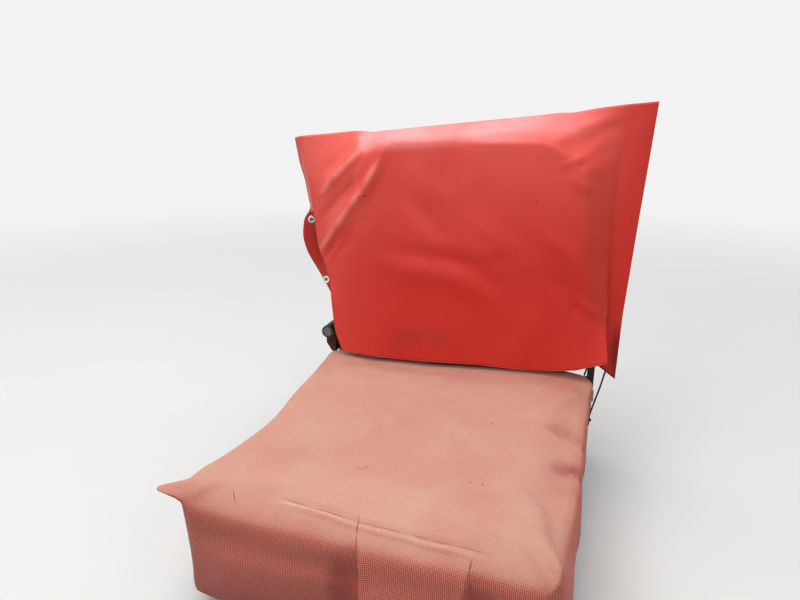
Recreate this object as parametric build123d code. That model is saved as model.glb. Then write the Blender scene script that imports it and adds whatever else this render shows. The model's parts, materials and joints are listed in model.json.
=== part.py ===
from build123d import *
from math import cos, radians, sin
import os

# Operator's seat of a construction machine, with its slide rails and its loose weather covers.
# The seat looks along -Y, +X is on the right of somebody who stands in front of it, and Z is up.
# The origin is the middle of the four fixing holes, on the underside of the two base straps.
# All lengths are in millimetres and all angles in degrees.

os.makedirs("parts", exist_ok=True)

# Base straps and their fixing holes
STRAP_THICK = 4.0
STRAP_WIDTH = 32.0
FIXING_SPAN_X = 290.0
FIXING_SPAN_Y = 280.0
FIXING_HOLE_R = 4.5
STRAP_END_MARGIN = 15.0
STRAP_CORNER = 9.0

# Slide rails
RAIL_SPAN = 216.0
RAIL_WALL = 2.5
LOWER_RAIL_LENGTH = 340.0
LOWER_RAIL_WIDTH = 42.0
LOWER_RAIL_SLOT = 20.0
UPPER_RAIL_LENGTH = 300.0
RAIL_FLANGE = 42.0
FLANGE_THICK = 3.0
ROLLER_R = 4.0
ROLLER_LENGTH = 28.0
ROLLER_SPAN = 160.0
SLIDE_TRAVEL = 75.0
RUN_GAP = 0.1
SIDE_GAP = 0.5
LIFT_GAP = 1.0
FLANGE_GAP = 1.5

# Slide latch: a rod that turns along Y, its teeth in windows of the right lower rail
LATCH_PITCH = 12.5
LATCH_TEETH = 3
TOOTH_WIDTH = 5.0
TOOTH_HEIGHT = 3.0
TOOTH_BITE = 2.0
WINDOW_WIDTH = 6.5
WINDOW_HEIGHT = 7.0
ROD_R = 4.0
ROD_TO_RAIL = 12.0
ROD_DROP = 6.2
LATCH_BODY_WIDTH = 12.0
LATCH_BODY_GAP = 1.5
ROD_BEND_R = 14.0
HANDLE_REACH = 150.0
HANDLE_AHEAD = 18.0
GRIP_R = 7.5
GRIP_LENGTH = 90.0
GRIP_EDGE = 2.0
EYE_R = 7.5
EYE_THICK = 4.0
EYE_PLACES = (-90.0, 60.0)

# Seat pan
PAN_HALF_X = 222.0
PAN_HALF_Y = 215.0
PAN_DEPTH = 32.0
PAN_SHEET = 2.0
PAN_CORNER_R = 30.0
PAN_RIM = 9.0
BEAD_LENGTH = 330.0
BEAD_WIDTH = 26.0
BEAD_RISE = 4.0
BEAD_PLACES = (-165.0, -55.0, 55.0, 165.0)
DRAIN_R = 6.0
DRAIN_SPAN_Y = 260.0

# Cushion in its fitted cover
CUSHION_WIDTH = 470.0
CUSHION_DEPTH = 475.0
CUSHION_CORNER_R = 27.0
CORNER_STEPS = 3
# height of each level, how far its sides, front and back draw in, how far its left side is
# pulled in at the middle, and its corner radius
CUSHION_LEVELS = [
    (100.0, -2.0, -1.0, -4.0, 4.0, 28.0),
    (148.0, -3.0, 0.0, -8.0, 12.0, 30.0),
    (167.0, 1.0, 8.0, -6.0, 15.0, 32.0),
    (178.0, 12.0, 26.0, 4.0, 16.0, 36.0),
    (184.5, 38.0, 58.0, 26.0, 14.0, 48.0),
    (187.0, 95.0, 110.0, 85.0, 8.0, 60.0),
]
# how far up the straight left side, and what share of the pull, each point of the drawn-in side has
PULL_SHAPE = [(0.80, 0.3), (0.42, 1.0), (0.12, 0.4)]
PLEAT_PLACES = {8.0: -1, 130.0: 1}
PLEAT_CLEAR = 8.0
# height, depth and width of the pleats' wedges
PLEAT_LEVELS = [(40.0, 1.0, 30.0), (62.0, 1.4, 34.0), (90.0, 9.0, 36.0), (166.0, 1.0, 18.0)]
SKIRT_DROP = 10.0
SKIRT_THICK = 2.0
SOFT_GAP = 0.3

# Backrest hinge: a plate on each side of the pan, a pivot pin, and a clamp knob on the left
PIVOT_Y = 297.5
PIVOT_Z = 132.0
LEAN = 8.0
TILT_BACK = 20.0
TILT_FORWARD = 5.0
HINGE_PLATE = 5.0
HINGE_PLATE_HALF = 28.0
HINGE_PLATE_HEIGHT = 18.0
HINGE_PLATE_LIFT = 1.8
HINGE_PLATE_START = 40.0
HINGE_INNER_R = 30.0
WASHER_THICK = 4.0
WASHER_R = 13.0
PIN_R = 6.0
PIN_HEAD_R = 10.0
PIN_HEAD_THICK = 2.5
PIN_FIT = 0.08
NUT_R = 9.5
NUT_THICK = 6.0
STUD_R = 5.0
STUD_ARM = 38.0
STUD_SLOT_GAP = 0.5
KNOB_R = 24.0
KNOB_LOBES = 5
KNOB_LOBE_R = 9.0
KNOB_EDGE = 2.4
KNOB_THICK = 15.0
KNOB_HUB_R = 12.0
KNOB_HUB_LENGTH = 6.0

# Backrest frame, measured along and across the leaning legs
LEG_THICK = 12.0
LEG_WIDTH = 34.0
LEG_TAIL = 56.0
LEG_REACH = 318.0
CROSS_TUBE_R = 10.0
CROSS_TUBE_PLACES = {"cross_tube_lower": 143.0, "cross_tube_upper": 280.0}
SADDLE_WALL = 2.5
SADDLE_WIDTH = 24.0
SADDLE_FOOT = 14.0
SADDLE_SPAN = 220.0

# Back board and foam pad
PAD_WIDTH = 400.0
PAD_HEIGHT = 362.0
PAD_THICK = 62.0
PAD_START = 74.0
PAD_CORNER_R = 45.0
PAD_FRONT_EDGE = 20.0
PAD_CORNER_STEPS = 4
BOARD_THICK = 8.0
BOARD_MARGIN = 6.0

# Armrest socket on the left leg, closed by a plug
SOCKET_R = 12.5
SOCKET_BORE_R = 10.0
SOCKET_LENGTH = 60.0
SOCKET_ABOVE_PIVOT = 75.7
SOCKET_AHEAD = 36.5
BRACKET_THICK = 4.0
BRACKET_SETBACK = 7.0
BRACKET_LENGTH = 50.0
BRACKET_DROP = 42.0
PLUG_RIM = 1.5
PLUG_LENGTH = 20.0

# Loose cover drawn over the backrest: two sheets that meet in a top seam and a right-hand flange
COVER_WALL = 2.0
COVER_TWIST = 5.3
COVER_MIDDLE = 278.0
COVER_HEM = -212.0
COVER_SEAM = 193.0
FLANGE_SHEET = 3.0
LEG_ROOM = 4.0
BACK_INSIDE_N = 21.0
CORD_GAP = (205.0, 250.0)
FLAP_TURN = 5.0
FLANGE_N = -28.0
# n and v of the corners of the opening in the left side, below the flap
SIDE_OPENING = [(-70.0, -240.0), (-27.0, 34.0), (BACK_INSIDE_N, 34.0), (BACK_INSIDE_N, -240.0)]
# u and v of the flange's free edge, from its tip up to the seam, and of its tab inside the sleeve
FLANGE_EDGE = [(254.0, -259.0), (271.0, -148.0), (291.0, -5.0), (305.0, 90.0), (313.0, COVER_SEAM)]
FLANGE_ROOT = [(232.0, COVER_SEAM), (240.0, 110.0), (236.0, 42.0), (230.0, -60.0), (216.0, COVER_HEM),
               (227.0, -237.0)]
# u and v of the back sheet's flap, which bulges out on the left beside the side opening
FLAP_EDGE = [(-256.0, 43.0), (-268.0, 43.0), (-322.0, 38.0), (-344.0, 2.0), (-341.0, -28.0),
             (-312.0, -79.0), (-292.0, -114.0), (-236.0, COVER_HEM), (-220.0, COVER_HEM)]

# Tie cord knotted round the right leg
CORD_R = 1.5
CORD_SIDES = 6
LOOP_PLACE = 61.0
KNOT_R = 4.4
END_KNOT_R = 3.4

# From the knot by the right leg up past its front face, over behind the cover's flange, and down
CORD_ROUTE = [
    (226.5, 281.5, 176.0),
    (228.5, 282.8, 186.0),
    (232.5, 284.4, 196.0),
    (238.5, 285.6, 205.0),
    (246.5, 286.0, 211.5),
    (256.0, 285.0, 210.5),
    (262.0, 283.5, 202.5),
    (261.0, 281.5, 191.0),
    (258.0, 278.5, 178.0),
    (254.5, 272.0, 162.0),
    (249.5, 264.5, 145.0),
    (244.5, 258.5, 127.0),
    (240.5, 255.0, 109.0),
]

# Heights that follow from the stack of rails
FLOOR_TOP = STRAP_THICK + RAIL_WALL
FOOT_BOTTOM = FLOOR_TOP + 2 * (ROLLER_R + RUN_GAP)
FOOT_TOP = FOOT_BOTTOM + RAIL_WALL
LIP_BOTTOM = FOOT_TOP + LIFT_GAP
LIP_TOP = LIP_BOTTOM + RAIL_WALL
FLANGE_BOTTOM = LIP_TOP + FLANGE_GAP
PAN_BOTTOM = FLANGE_BOTTOM + FLANGE_THICK
PAN_TOP = PAN_BOTTOM + PAN_DEPTH
CUSHION_FRONT = -CUSHION_DEPTH / 2
HINGE_X = PAN_HALF_X + HINGE_PLATE
LEG_X = HINGE_X + WASHER_THICK
LEG_OUTER = LEG_X + LEG_THICK
SOCKET_FRONT_Y = PIVOT_Y - SOCKET_AHEAD
SOCKET_Z = PIVOT_Z + SOCKET_ABOVE_PIVOT
SOCKET_X = -(LEG_OUTER + SOCKET_R + SOFT_GAP)
ROD_X = RAIL_SPAN / 2 - LOWER_RAIL_WIDTH / 2 - ROD_TO_RAIL
ROD_Z = PAN_BOTTOM - ROD_DROP
FOOT_WIDTH = LOWER_RAIL_WIDTH - 2 * RAIL_WALL - 2 * SIDE_GAP
WEB_WIDTH = LOWER_RAIL_SLOT - 2 * RAIL_WALL

# Backrest frame of reference: X across, n from front to back, s up along the legs from the pivot
BACK = Plane(origin=(0, PIVOT_Y, PIVOT_Z), x_dir=(1, 0, 0),
             z_dir=(0, sin(radians(LEAN)), cos(radians(LEAN))))
TUBE_N = LEG_WIDTH / 2 - CROSS_TUBE_R - 1.5
BOARD_BACK_N = TUBE_N - CROSS_TUBE_R - SOFT_GAP
BOARD_FRONT_N = BOARD_BACK_N - BOARD_THICK
PAD_FRONT_N = BOARD_FRONT_N - PAD_THICK

# Sections of the sleeve from hem to seam: middle level v, tilt in degrees, then the corners (u, n) of its
# outside: left edge, left and right ridge over the pad, crease, flange fold, right and left corner behind
# the legs, and left edge of the back sheet
OVER_PAD_N = PAD_FRONT_N - COVER_WALL - 1.3 * SOFT_GAP
BEHIND_LEG_N = LEG_WIDTH / 2 + COVER_WALL + LEG_ROOM
COVER_SECTIONS = [
    (-227.0, 3.5, (-233.0, -77.0), (-200.0, OVER_PAD_N), (215.0, OVER_PAD_N), (242.0, -76.0),
     (234.0, -28.0), (230.0, BEHIND_LEG_N), (-236.0, BEHIND_LEG_N), (-250.0, 21.0)),
    (-60.0, 4.5, (-262.0, -54.0), (-187.0, OVER_PAD_N), (212.0, OVER_PAD_N), (241.0, -42.0),
     (243.0, -27.0), (242.0, BEHIND_LEG_N), (-248.0, BEHIND_LEG_N), (-263.0, 20.0)),
    (42.0, COVER_TWIST, (-303.0, -33.0), (-180.0, OVER_PAD_N), (202.0, OVER_PAD_N), (242.0, -34.0),
     (251.0, -26.0), (252.0, 22.0), (-252.0, 21.0), (-318.0, 3.0)),
    (139.5, COVER_TWIST, (-312.0, -31.0), (-171.0, OVER_PAD_N), (195.0, OVER_PAD_N), (235.0, -33.0),
     (246.0, -26.0), (247.0, 6.0), (-170.0, -1.0), (-328.0, -3.0)),
    (160.5, COVER_TWIST, (-313.0, -31.0), (-150.0, -58.5), (176.0, -58.5), (233.0, -31.0),
     (243.0, -26.0), (245.0, 0.0), (-180.0, -1.5), (-329.0, -3.0)),
    (COVER_SEAM, 0.0, (-314.0, -31.0), (-170.0, -31.0), (170.0, -31.0), (228.0, -31.0),
     (240.0, -29.0), (240.0, -23.0), (-180.0, -22.0), (-330.0, -2.0)),
]


def written(shape, node):
    """Writes one sub-part under its node name."""
    shape.label = node
    export_step(shape, f"parts/{node}.step")


def block(x0, x1, y0, y1, z0, z1):
    """A box between two corners."""
    size = (x1 - x0, y1 - y0, z1 - z0)
    return Pos((x0 + x1) / 2, (y0 + y1) / 2, (z0 + z1) / 2) * Box(*size)


def rounded(width, depth, radius, height, z):
    """An upright slab with rounded corners, its foot at height z."""
    return Pos(0, 0, z) * extrude(RectangleRounded(width, depth, radius), height)


def faceted(levels):
    """A solid through levels of equally many points, its sides in flat triangles."""
    faces = [Face(Wire.make_polygon(levels[0])), Face(Wire.make_polygon(levels[-1]))]
    for low, high in zip(levels, levels[1:]):
        for index, corner in enumerate(low):
            after = (index + 1) % len(low)
            faces.append(Face(Wire.make_polygon([corner, low[after], high[after]])))
            faces.append(Face(Wire.make_polygon([corner, high[after], high[index]])))
    return Solid(Shell(faces))


def broken(width, depth, corner, height, z):
    """An upright slab with broken corners, its foot at height z."""
    body = Pos(0, 0, z + height / 2) * Box(width, depth, height)
    return chamfer(body.edges().filter_by(Axis.Z), corner)


def base_strap(place_y):
    half = FIXING_SPAN_X / 2 + STRAP_END_MARGIN
    strap = Pos(0, place_y, 0) * broken(2 * half, STRAP_WIDTH, STRAP_CORNER, STRAP_THICK, 0)
    for side in (-1, 1):
        hole = Cylinder(FIXING_HOLE_R, 3 * STRAP_THICK)
        strap -= Pos(side * FIXING_SPAN_X / 2, place_y, STRAP_THICK / 2) * hole
    return strap


def lower_rail(side):
    """C-shaped rail with inturned lips and low end tabs that keep the rollers in."""
    half, slot, end = LOWER_RAIL_WIDTH / 2, LOWER_RAIL_SLOT / 2, LOWER_RAIL_LENGTH / 2
    rail = block(-half, half, -end, end, STRAP_THICK, LIP_TOP)
    rail -= block(-half + RAIL_WALL, half - RAIL_WALL, -end, end, FLOOR_TOP, LIP_BOTTOM)
    rail -= block(-slot, slot, -end, end, FLOOR_TOP, LIP_TOP)
    tab_top = FOOT_BOTTOM - LIFT_GAP
    for sign in (-1, 1):
        tab = block(-half + RAIL_WALL, half - RAIL_WALL, 0, RAIL_WALL, FLOOR_TOP, tab_top)
        rail += Pos(0, sign * (end - RAIL_WALL / 2) - RAIL_WALL / 2, 0) * tab
    if side > 0:
        inner_wall = block(-half, -half + RAIL_WALL, 0, WINDOW_WIDTH, FLOOR_TOP + SOFT_GAP,
                           FLOOR_TOP + SOFT_GAP + WINDOW_HEIGHT)
        reach = round(SLIDE_TRAVEL / LATCH_PITCH) + LATCH_TEETH // 2
        for step in range(-reach, reach + 1):
            rail -= Pos(0, step * LATCH_PITCH - WINDOW_WIDTH / 2, 0) * inner_wall
    return Pos(side * RAIL_SPAN / 2, 0, 0) * rail


def upper_rail(side):
    """Foot that runs on the rollers, hollow web through the slot, and a top flange for the pan."""
    end, foot, web, flange = UPPER_RAIL_LENGTH / 2, FOOT_WIDTH / 2, WEB_WIDTH / 2, RAIL_FLANGE / 2
    rail = block(-foot, foot, -end, end, FOOT_BOTTOM, FOOT_TOP)
    rail += block(-web, web, -end, end, FOOT_TOP, FLANGE_BOTTOM)
    rail += block(-flange, flange, -end, end, FLANGE_BOTTOM, PAN_BOTTOM)
    rail -= block(-web + RAIL_WALL, web - RAIL_WALL, -end, end, FOOT_TOP, FLANGE_BOTTOM)
    return Pos(side * RAIL_SPAN / 2, 0, 0) * rail


def rail_rollers():
    """Two steel rollers in each rail."""
    roller = Rot(0, 90, 0) * Cylinder(ROLLER_R, ROLLER_LENGTH)
    places = [(x * RAIL_SPAN / 2, y * ROLLER_SPAN / 2) for x in (-1, 1) for y in (-1, 1)]
    height = FLOOR_TOP + ROLLER_R + RUN_GAP
    return Compound(children=[Pos(x, y, height) * roller for x, y in places])


def pressed_bead(length, width):
    """A shallow bead with sloping sides and pointed ends."""
    half, tip = width / 2, length / 2
    outline = Polyline((-tip, 0), (half - tip, -half), (tip - half, -half), (tip, 0), (tip - half, half),
                       (half - tip, half), close=True)
    return extrude(make_face(outline), BEAD_RISE, taper=20)


def seat_pan():
    """Pressed tray with a turned-out rim, four stiffening beads and drain holes."""
    width, depth, wall = 2 * PAN_HALF_X, 2 * PAN_HALF_Y, PAN_SHEET
    pan = rounded(width, depth, PAN_CORNER_R, PAN_DEPTH, PAN_BOTTOM)
    pan += rounded(width + 2 * PAN_RIM, depth + 2 * PAN_RIM, PAN_CORNER_R + PAN_RIM, wall, PAN_TOP - wall)
    pan -= rounded(width - 2 * wall, depth - 2 * wall, PAN_CORNER_R - wall, PAN_DEPTH, PAN_BOTTOM + wall)
    bead = pressed_bead(BEAD_LENGTH, BEAD_WIDTH)
    hollow = pressed_bead(BEAD_LENGTH - 2 * wall, BEAD_WIDTH - 2 * wall)
    for x in BEAD_PLACES:
        pan += Pos(x, 0, PAN_BOTTOM + wall) * Rot(0, 0, 90) * bead
        pan -= Pos(x, 0, PAN_BOTTOM) * Rot(0, 0, 90) * hollow
    for y in (-DRAIN_SPAN_Y / 2, DRAIN_SPAN_Y / 2):
        pan -= Pos(0, y, PAN_BOTTOM) * Cylinder(DRAIN_R, 4 * wall)
    return pan


def cushion_outline(z, side=0.0, front=0.0, back=0.0, pull=0.0, corner=CUSHION_CORNER_R):
    """One level of the cushion: a rectangle with broken corners whose left side is drawn in."""
    left, right = side - CUSHION_WIDTH / 2, CUSHION_WIDTH / 2 - side
    low, high = CUSHION_FRONT + front, CUSHION_DEPTH / 2 - back
    points = []
    for x, y, start in ((right, high, 0), (left, high, 90), (left, low, 180), (right, low, 270)):
        middle = Vector(x - corner * (1 if x > 0 else -1), y - corner * (1 if y > 0 else -1))
        for step in range(CORNER_STEPS + 1):
            turn = radians(start + 90 * step / CORNER_STEPS)
            points.append(middle + Vector(cos(turn), sin(turn)) * corner)
        if start == 90:
            straight = high - low - 2 * corner
            points += [Vector(left + depth * pull, low + corner + share * straight)
                       for share, depth in PULL_SHAPE]
    return [Vector(p.X, p.Y, z) for p in points]


def front_pleat(place, side):
    """Wedge that a pleat takes out of the front: deep halfway up, shallow at its head and in the skirt."""
    sections = []
    for z, depth, width in PLEAT_LEVELS:
        near, face = CUSHION_FRONT - PLEAT_CLEAR, CUSHION_FRONT + depth
        reach = place + side * width
        wedge = Polyline((place, near), (place, face), (reach, CUSHION_FRONT), (reach, near), close=True)
        sections.append(Pos(0, 0, z) * make_face(wedge))
    return loft(sections, ruled=True)


def cushion():
    """Foam cushion in its fitted cover: it sits in the pan and its skirt hangs over the rim."""
    foot = PAN_TOP + SOFT_GAP
    body = faceted([cushion_outline(foot)] + [cushion_outline(*level) for level in CUSHION_LEVELS])
    inset = 2 * (PAN_SHEET + SOFT_GAP)
    plug_foot = PAN_BOTTOM + PAN_SHEET + BEAD_RISE + LIFT_GAP
    body += broken(2 * PAN_HALF_X - inset, 2 * PAN_HALF_Y - inset, PAN_CORNER_R,
                   foot - plug_foot + 1, plug_foot)
    drop = PAN_SHEET + SKIRT_DROP
    hem = Face(Wire.make_polygon(cushion_outline(foot - drop)))
    hem -= offset(hem, -SKIRT_THICK, kind=Kind.INTERSECTION)
    body += extrude(hem, drop, dir=(0, 0, 1))
    for place, side in PLEAT_PLACES.items():
        body -= front_pleat(place, side)
    return body


def hinge_plate(side):
    """Plate on the pan's side wall that rises behind the cushion to the pivot."""
    low, high = PAN_BOTTOM + HINGE_PLATE_LIFT, PAN_BOTTOM + HINGE_PLATE_LIFT + HINGE_PLATE_HEIGHT
    front, back = PIVOT_Y - HINGE_PLATE_HALF, PIVOT_Y + HINGE_PLATE_HALF
    bend = front - HINGE_INNER_R
    foot = Polyline((bend, high), (HINGE_PLATE_START, high), (HINGE_PLATE_START, low), (back, low),
                    (back, PIVOT_Z))
    crown = ThreePointArc((back, PIVOT_Z), (PIVOT_Y, PIVOT_Z + HINGE_PLATE_HALF), (front, PIVOT_Z))
    rise = Line((front, PIVOT_Z), (front, high + HINGE_INNER_R))
    inner = CenterArc((bend, high + HINGE_INNER_R), HINGE_INNER_R, 270, 90)
    outline = make_face(foot + crown + rise + inner)
    outline -= Pos(PIVOT_Y, PIVOT_Z) * Circle(PIN_R + RUN_GAP)
    if side < 0:
        arc = CenterArc((PIVOT_Y, PIVOT_Z), STUD_ARM, 270 - LEAN - TILT_BACK, TILT_BACK + TILT_FORWARD)
        outline -= SlotArc(arc, 2 * (STUD_R + STUD_SLOT_GAP))
    plate = extrude(Plane.YZ * outline, HINGE_PLATE)
    return Pos(PAN_HALF_X if side > 0 else -HINGE_X, 0, 0) * plate


def turned(stages):
    """A turned piece along +X from a table of (start, end, radius)."""
    body = None
    for start, end, radius in stages:
        piece = Pos((start + end) / 2, 0, 0) * Rot(0, 90, 0) * Cylinder(radius, end - start)
        body = piece if body is None else body + piece
    return body


def pivot_pins():
    """Shouldered pins: nut inside the plate, washer between plate and leg, hexagon head outside."""
    gap = PIN_FIT
    pin = turned([
        (PAN_HALF_X, LEG_OUTER + gap, PIN_R),
        (HINGE_X, LEG_X - gap, WASHER_R),
    ])
    pin += Pos(LEG_OUTER + gap, 0, 0) * extrude(Plane.YZ * RegularPolygon(PIN_HEAD_R, 6), PIN_HEAD_THICK)
    pin += Pos(PAN_HALF_X - NUT_THICK, 0, 0) * extrude(Plane.YZ * RegularPolygon(NUT_R, 6), NUT_THICK)
    return Compound(children=[Pos(0, PIVOT_Y, PIVOT_Z) * p for p in (pin, mirror(pin, Plane.YZ))])


def tilt_stud():
    """Stud in the left leg's tail: its head lies inside the hinge plate's arc slot."""
    inner = PAN_HALF_X - SOFT_GAP
    stud = turned([(inner, LEG_OUTER + KNOB_HUB_LENGTH, STUD_R)])
    stud += Pos(inner - NUT_THICK, 0, 0) * extrude(Plane.YZ * RegularPolygon(NUT_R, 6), NUT_THICK)
    return BACK.location * Pos(0, 0, -STUD_ARM) * mirror(stud, Plane.YZ)


def tilt_knob():
    """Lobed clamp knob on the stud."""
    start = LEG_OUTER + SOFT_GAP
    hub = turned([(start, start + KNOB_HUB_LENGTH, KNOB_HUB_R)])
    star = Circle(KNOB_R)
    for lobe in range(KNOB_LOBES):
        hollow = Pos(KNOB_R + KNOB_LOBE_R / 2, 0) * Circle(KNOB_LOBE_R)
        star -= Rot(0, 0, 360 * lobe / KNOB_LOBES) * hollow
    head = extrude(Plane.YZ * star, KNOB_THICK)
    head = chamfer(head.edges().filter_by(Axis.X), KNOB_EDGE)
    knob = hub + Pos(start + KNOB_HUB_LENGTH, 0, 0) * head
    knob -= turned([(start - 1, LEG_OUTER + KNOB_HUB_LENGTH, STUD_R + PIN_FIT)])
    return BACK.location * Pos(0, 0, -STUD_ARM) * mirror(knob, Plane.YZ)


def back_leg(side):
    """Flat bar with rounded ends: pivot hole, and on the left the stud's hole in its tail."""
    length = LEG_TAIL + LEG_REACH
    bar = Plane.YZ * Pos(0, (LEG_REACH - LEG_TAIL) / 2) * Rot(0, 0, 90) * SlotOverall(length, LEG_WIDTH)
    bar -= Plane.YZ * Circle(PIN_R + PIN_FIT)
    if side < 0:
        bar -= Plane.YZ * Pos(0, -STUD_ARM) * Circle(STUD_R)
    leg = Pos(LEG_X if side > 0 else -LEG_OUTER, 0, 0) * extrude(bar, LEG_THICK)
    return BACK.location * leg


def cross_tube(place):
    """Tube between the legs, closed where it is welded to them."""
    return BACK.location * Pos(0, TUBE_N, place) * Rot(0, 90, 0) * Cylinder(CROSS_TUBE_R, 2 * LEG_X)


def tube_saddles():
    """Four folded straps that hold the cross tubes against the back board."""
    outer, bore = CROSS_TUBE_R + SADDLE_WALL, CROSS_TUBE_R + PIN_FIT
    face = BOARD_BACK_N - TUBE_N
    ring = Plane.YZ * (RegularPolygon(outer, 8, major_radius=False) - Circle(bore))
    strap = extrude(ring, SADDLE_WIDTH)
    strap -= block(-1, SADDLE_WIDTH + 1, -2 * outer, face, -2 * outer, 2 * outer)
    reach = outer + SADDLE_FOOT
    feet = block(0, SADDLE_WIDTH, face, face + SADDLE_WALL, -reach, reach)
    feet -= extrude(Plane.YZ * Circle(bore), SADDLE_WIDTH)
    saddle = Pos(-SADDLE_WIDTH / 2, 0, 0) * (strap + feet)
    places = [(x, s) for x in (-1, 1) for s in CROSS_TUBE_PLACES.values()]
    made = [Pos(x * SADDLE_SPAN / 2, TUBE_N, s) * saddle for x, s in places]
    return Compound(children=[BACK.location * m for m in made])


def slab(width, height, corner, n0, n1):
    """An upright rounded panel in the backrest's frame, from n0 at the front to n1 behind."""
    sheet = Plane.XZ * Pos(0, PAD_START + PAD_HEIGHT / 2) * RectangleRounded(width, height, corner)
    return Pos(0, n1, 0) * extrude(sheet, n1 - n0)


def back_board():
    shrink = 2 * BOARD_MARGIN
    board = slab(PAD_WIDTH - shrink, PAD_HEIGHT - shrink, PAD_CORNER_R - BOARD_MARGIN,
                 BOARD_FRONT_N, BOARD_BACK_N)
    return BACK.location * board


def back_pad():
    """Upholstered foam pad with a broken front edge."""
    half, high, corner = PAD_WIDTH / 2, PAD_HEIGHT / 2, PAD_CORNER_R
    points = []
    for x, s, start in ((half, high, 0), (-half, high, 90), (-half, -high, 180), (half, -high, 270)):
        middle = Vector(x - corner * (1 if x > 0 else -1), s - corner * (1 if s > 0 else -1))
        turns = [radians(start + 90 * step / PAD_CORNER_STEPS) for step in range(PAD_CORNER_STEPS + 1)]
        points += [middle + Vector(cos(turn), sin(turn)) * corner for turn in turns]
    sheet = Plane.XZ * Pos(0, PAD_START + high) * make_face(Polyline(*points, close=True))
    pad = Pos(0, BOARD_FRONT_N, 0) * extrude(sheet, PAD_THICK)
    pad = chamfer(pad.edges().group_by(Axis.Y)[0], PAD_FRONT_EDGE)
    return BACK.location * pad


def armrest_socket():
    """Short tube that points forward beside the left leg."""
    tube = Cylinder(SOCKET_R, SOCKET_LENGTH) - Cylinder(SOCKET_BORE_R, SOCKET_LENGTH)
    return Pos(SOCKET_X, SOCKET_FRONT_Y + SOCKET_LENGTH / 2, SOCKET_Z) * Rot(90, 0, 0) * tube


def socket_plug():
    """Plug with a broken edge that closes the socket's front end."""
    plug = Cylinder(SOCKET_BORE_R, PLUG_LENGTH)
    plug = chamfer(plug.edges().group_by(Axis.Z)[-1], PLUG_RIM)
    return Pos(SOCKET_X, SOCKET_FRONT_Y + PLUG_LENGTH / 2 - PLUG_RIM, SOCKET_Z) * Rot(90, 0, 0) * plug


def socket_bracket():
    """Foot on the left leg's outer face with a gusset under the socket, both cut round the tube."""
    front = SOCKET_FRONT_Y + BRACKET_SETBACK
    low, face = SOCKET_Z - BRACKET_DROP, -LEG_OUTER
    tip = SOCKET_X - SOCKET_R / 2
    foot = block(face - BRACKET_THICK, face, front, front + BRACKET_LENGTH, low, SOCKET_Z)
    corners = [(face, low), (face - 2 * BRACKET_THICK, low), (tip, SOCKET_Z - 2 * SOCKET_R),
               (tip, SOCKET_Z), (face, SOCKET_Z)]
    gusset = extrude(Plane.XZ * make_face(Polyline(*corners, close=True)), -BRACKET_THICK)
    bracket = foot + Pos(0, front, 0) * gusset
    bore = Pos(SOCKET_X, SOCKET_FRONT_Y, SOCKET_Z) * Rot(90, 0, 0) * Cylinder(SOCKET_R, 4 * SOCKET_LENGTH)
    return bracket - bore


def cover_section(v, tilt, *corners, inset=0.0):
    """One level of the loose cover from its corners (u, n), drawn in by an inset."""
    outline = [Vector(u, n) for u, n in corners]
    points = []
    for before, corner, after in zip(outline[-1:] + outline[:-1], outline, outline[1:] + outline[:1]):
        first, second = [run.normalized().rotate(Axis.Z, 90) for run in (corner - before, after - corner)]
        points.append(corner + (first + second) * (inset / (1 + first.dot(second))))
    turn = radians(tilt)
    return [Vector(p.X * cos(turn), p.Y, v - p.X * sin(turn)) for p in points]


def cover_sheet(corners, front, thick):
    """A flat piece of the cover, given by the u and v of its corners."""
    sheet = extrude(Plane.XZ * make_face(Polyline(*corners, close=True)), -thick)
    return Pos(0, front, 0) * sheet


def back_cover():
    """Open-bottomed sleeve that sits askew: top seam, right-hand flange, left side open below."""
    wall = COVER_WALL
    sleeve = faceted([cover_section(*row) for row in COVER_SECTIONS])
    below = (COVER_SECTIONS[0][0] - wall, *COVER_SECTIONS[0][1:])
    under_seam = (COVER_SECTIONS[-1][0] - wall, *COVER_SECTIONS[-1][1:])
    inner = [below] + COVER_SECTIONS[1:-1] + [under_seam]
    sleeve -= faceted([cover_section(*row, inset=wall) for row in inner])
    sleeve += cover_sheet(FLANGE_EDGE + FLANGE_ROOT, FLANGE_N - FLANGE_SHEET / 2, FLANGE_SHEET)
    opening = extrude(Plane.YZ * make_face(Polyline(*SIDE_OPENING, close=True)), LEG_X)
    sleeve -= Pos(-2 * LEG_X, 0, 0) * opening
    sleeve -= block(*CORD_GAP, FLANGE_N + FLANGE_SHEET, BACK_INSIDE_N - wall, 2 * COVER_HEM, COVER_HEM)
    flap = Pos(LEG_X, 0, 0) * cover_sheet(FLAP_EDGE, 0, wall)
    sleeve += Pos(-LEG_X, BACK_INSIDE_N, 0) * Rot(0, 0, FLAP_TURN) * flap
    return BACK.location * Pos(0, 0, COVER_MIDDLE) * Rot(0, -COVER_TWIST, 0) * sleeve


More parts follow.
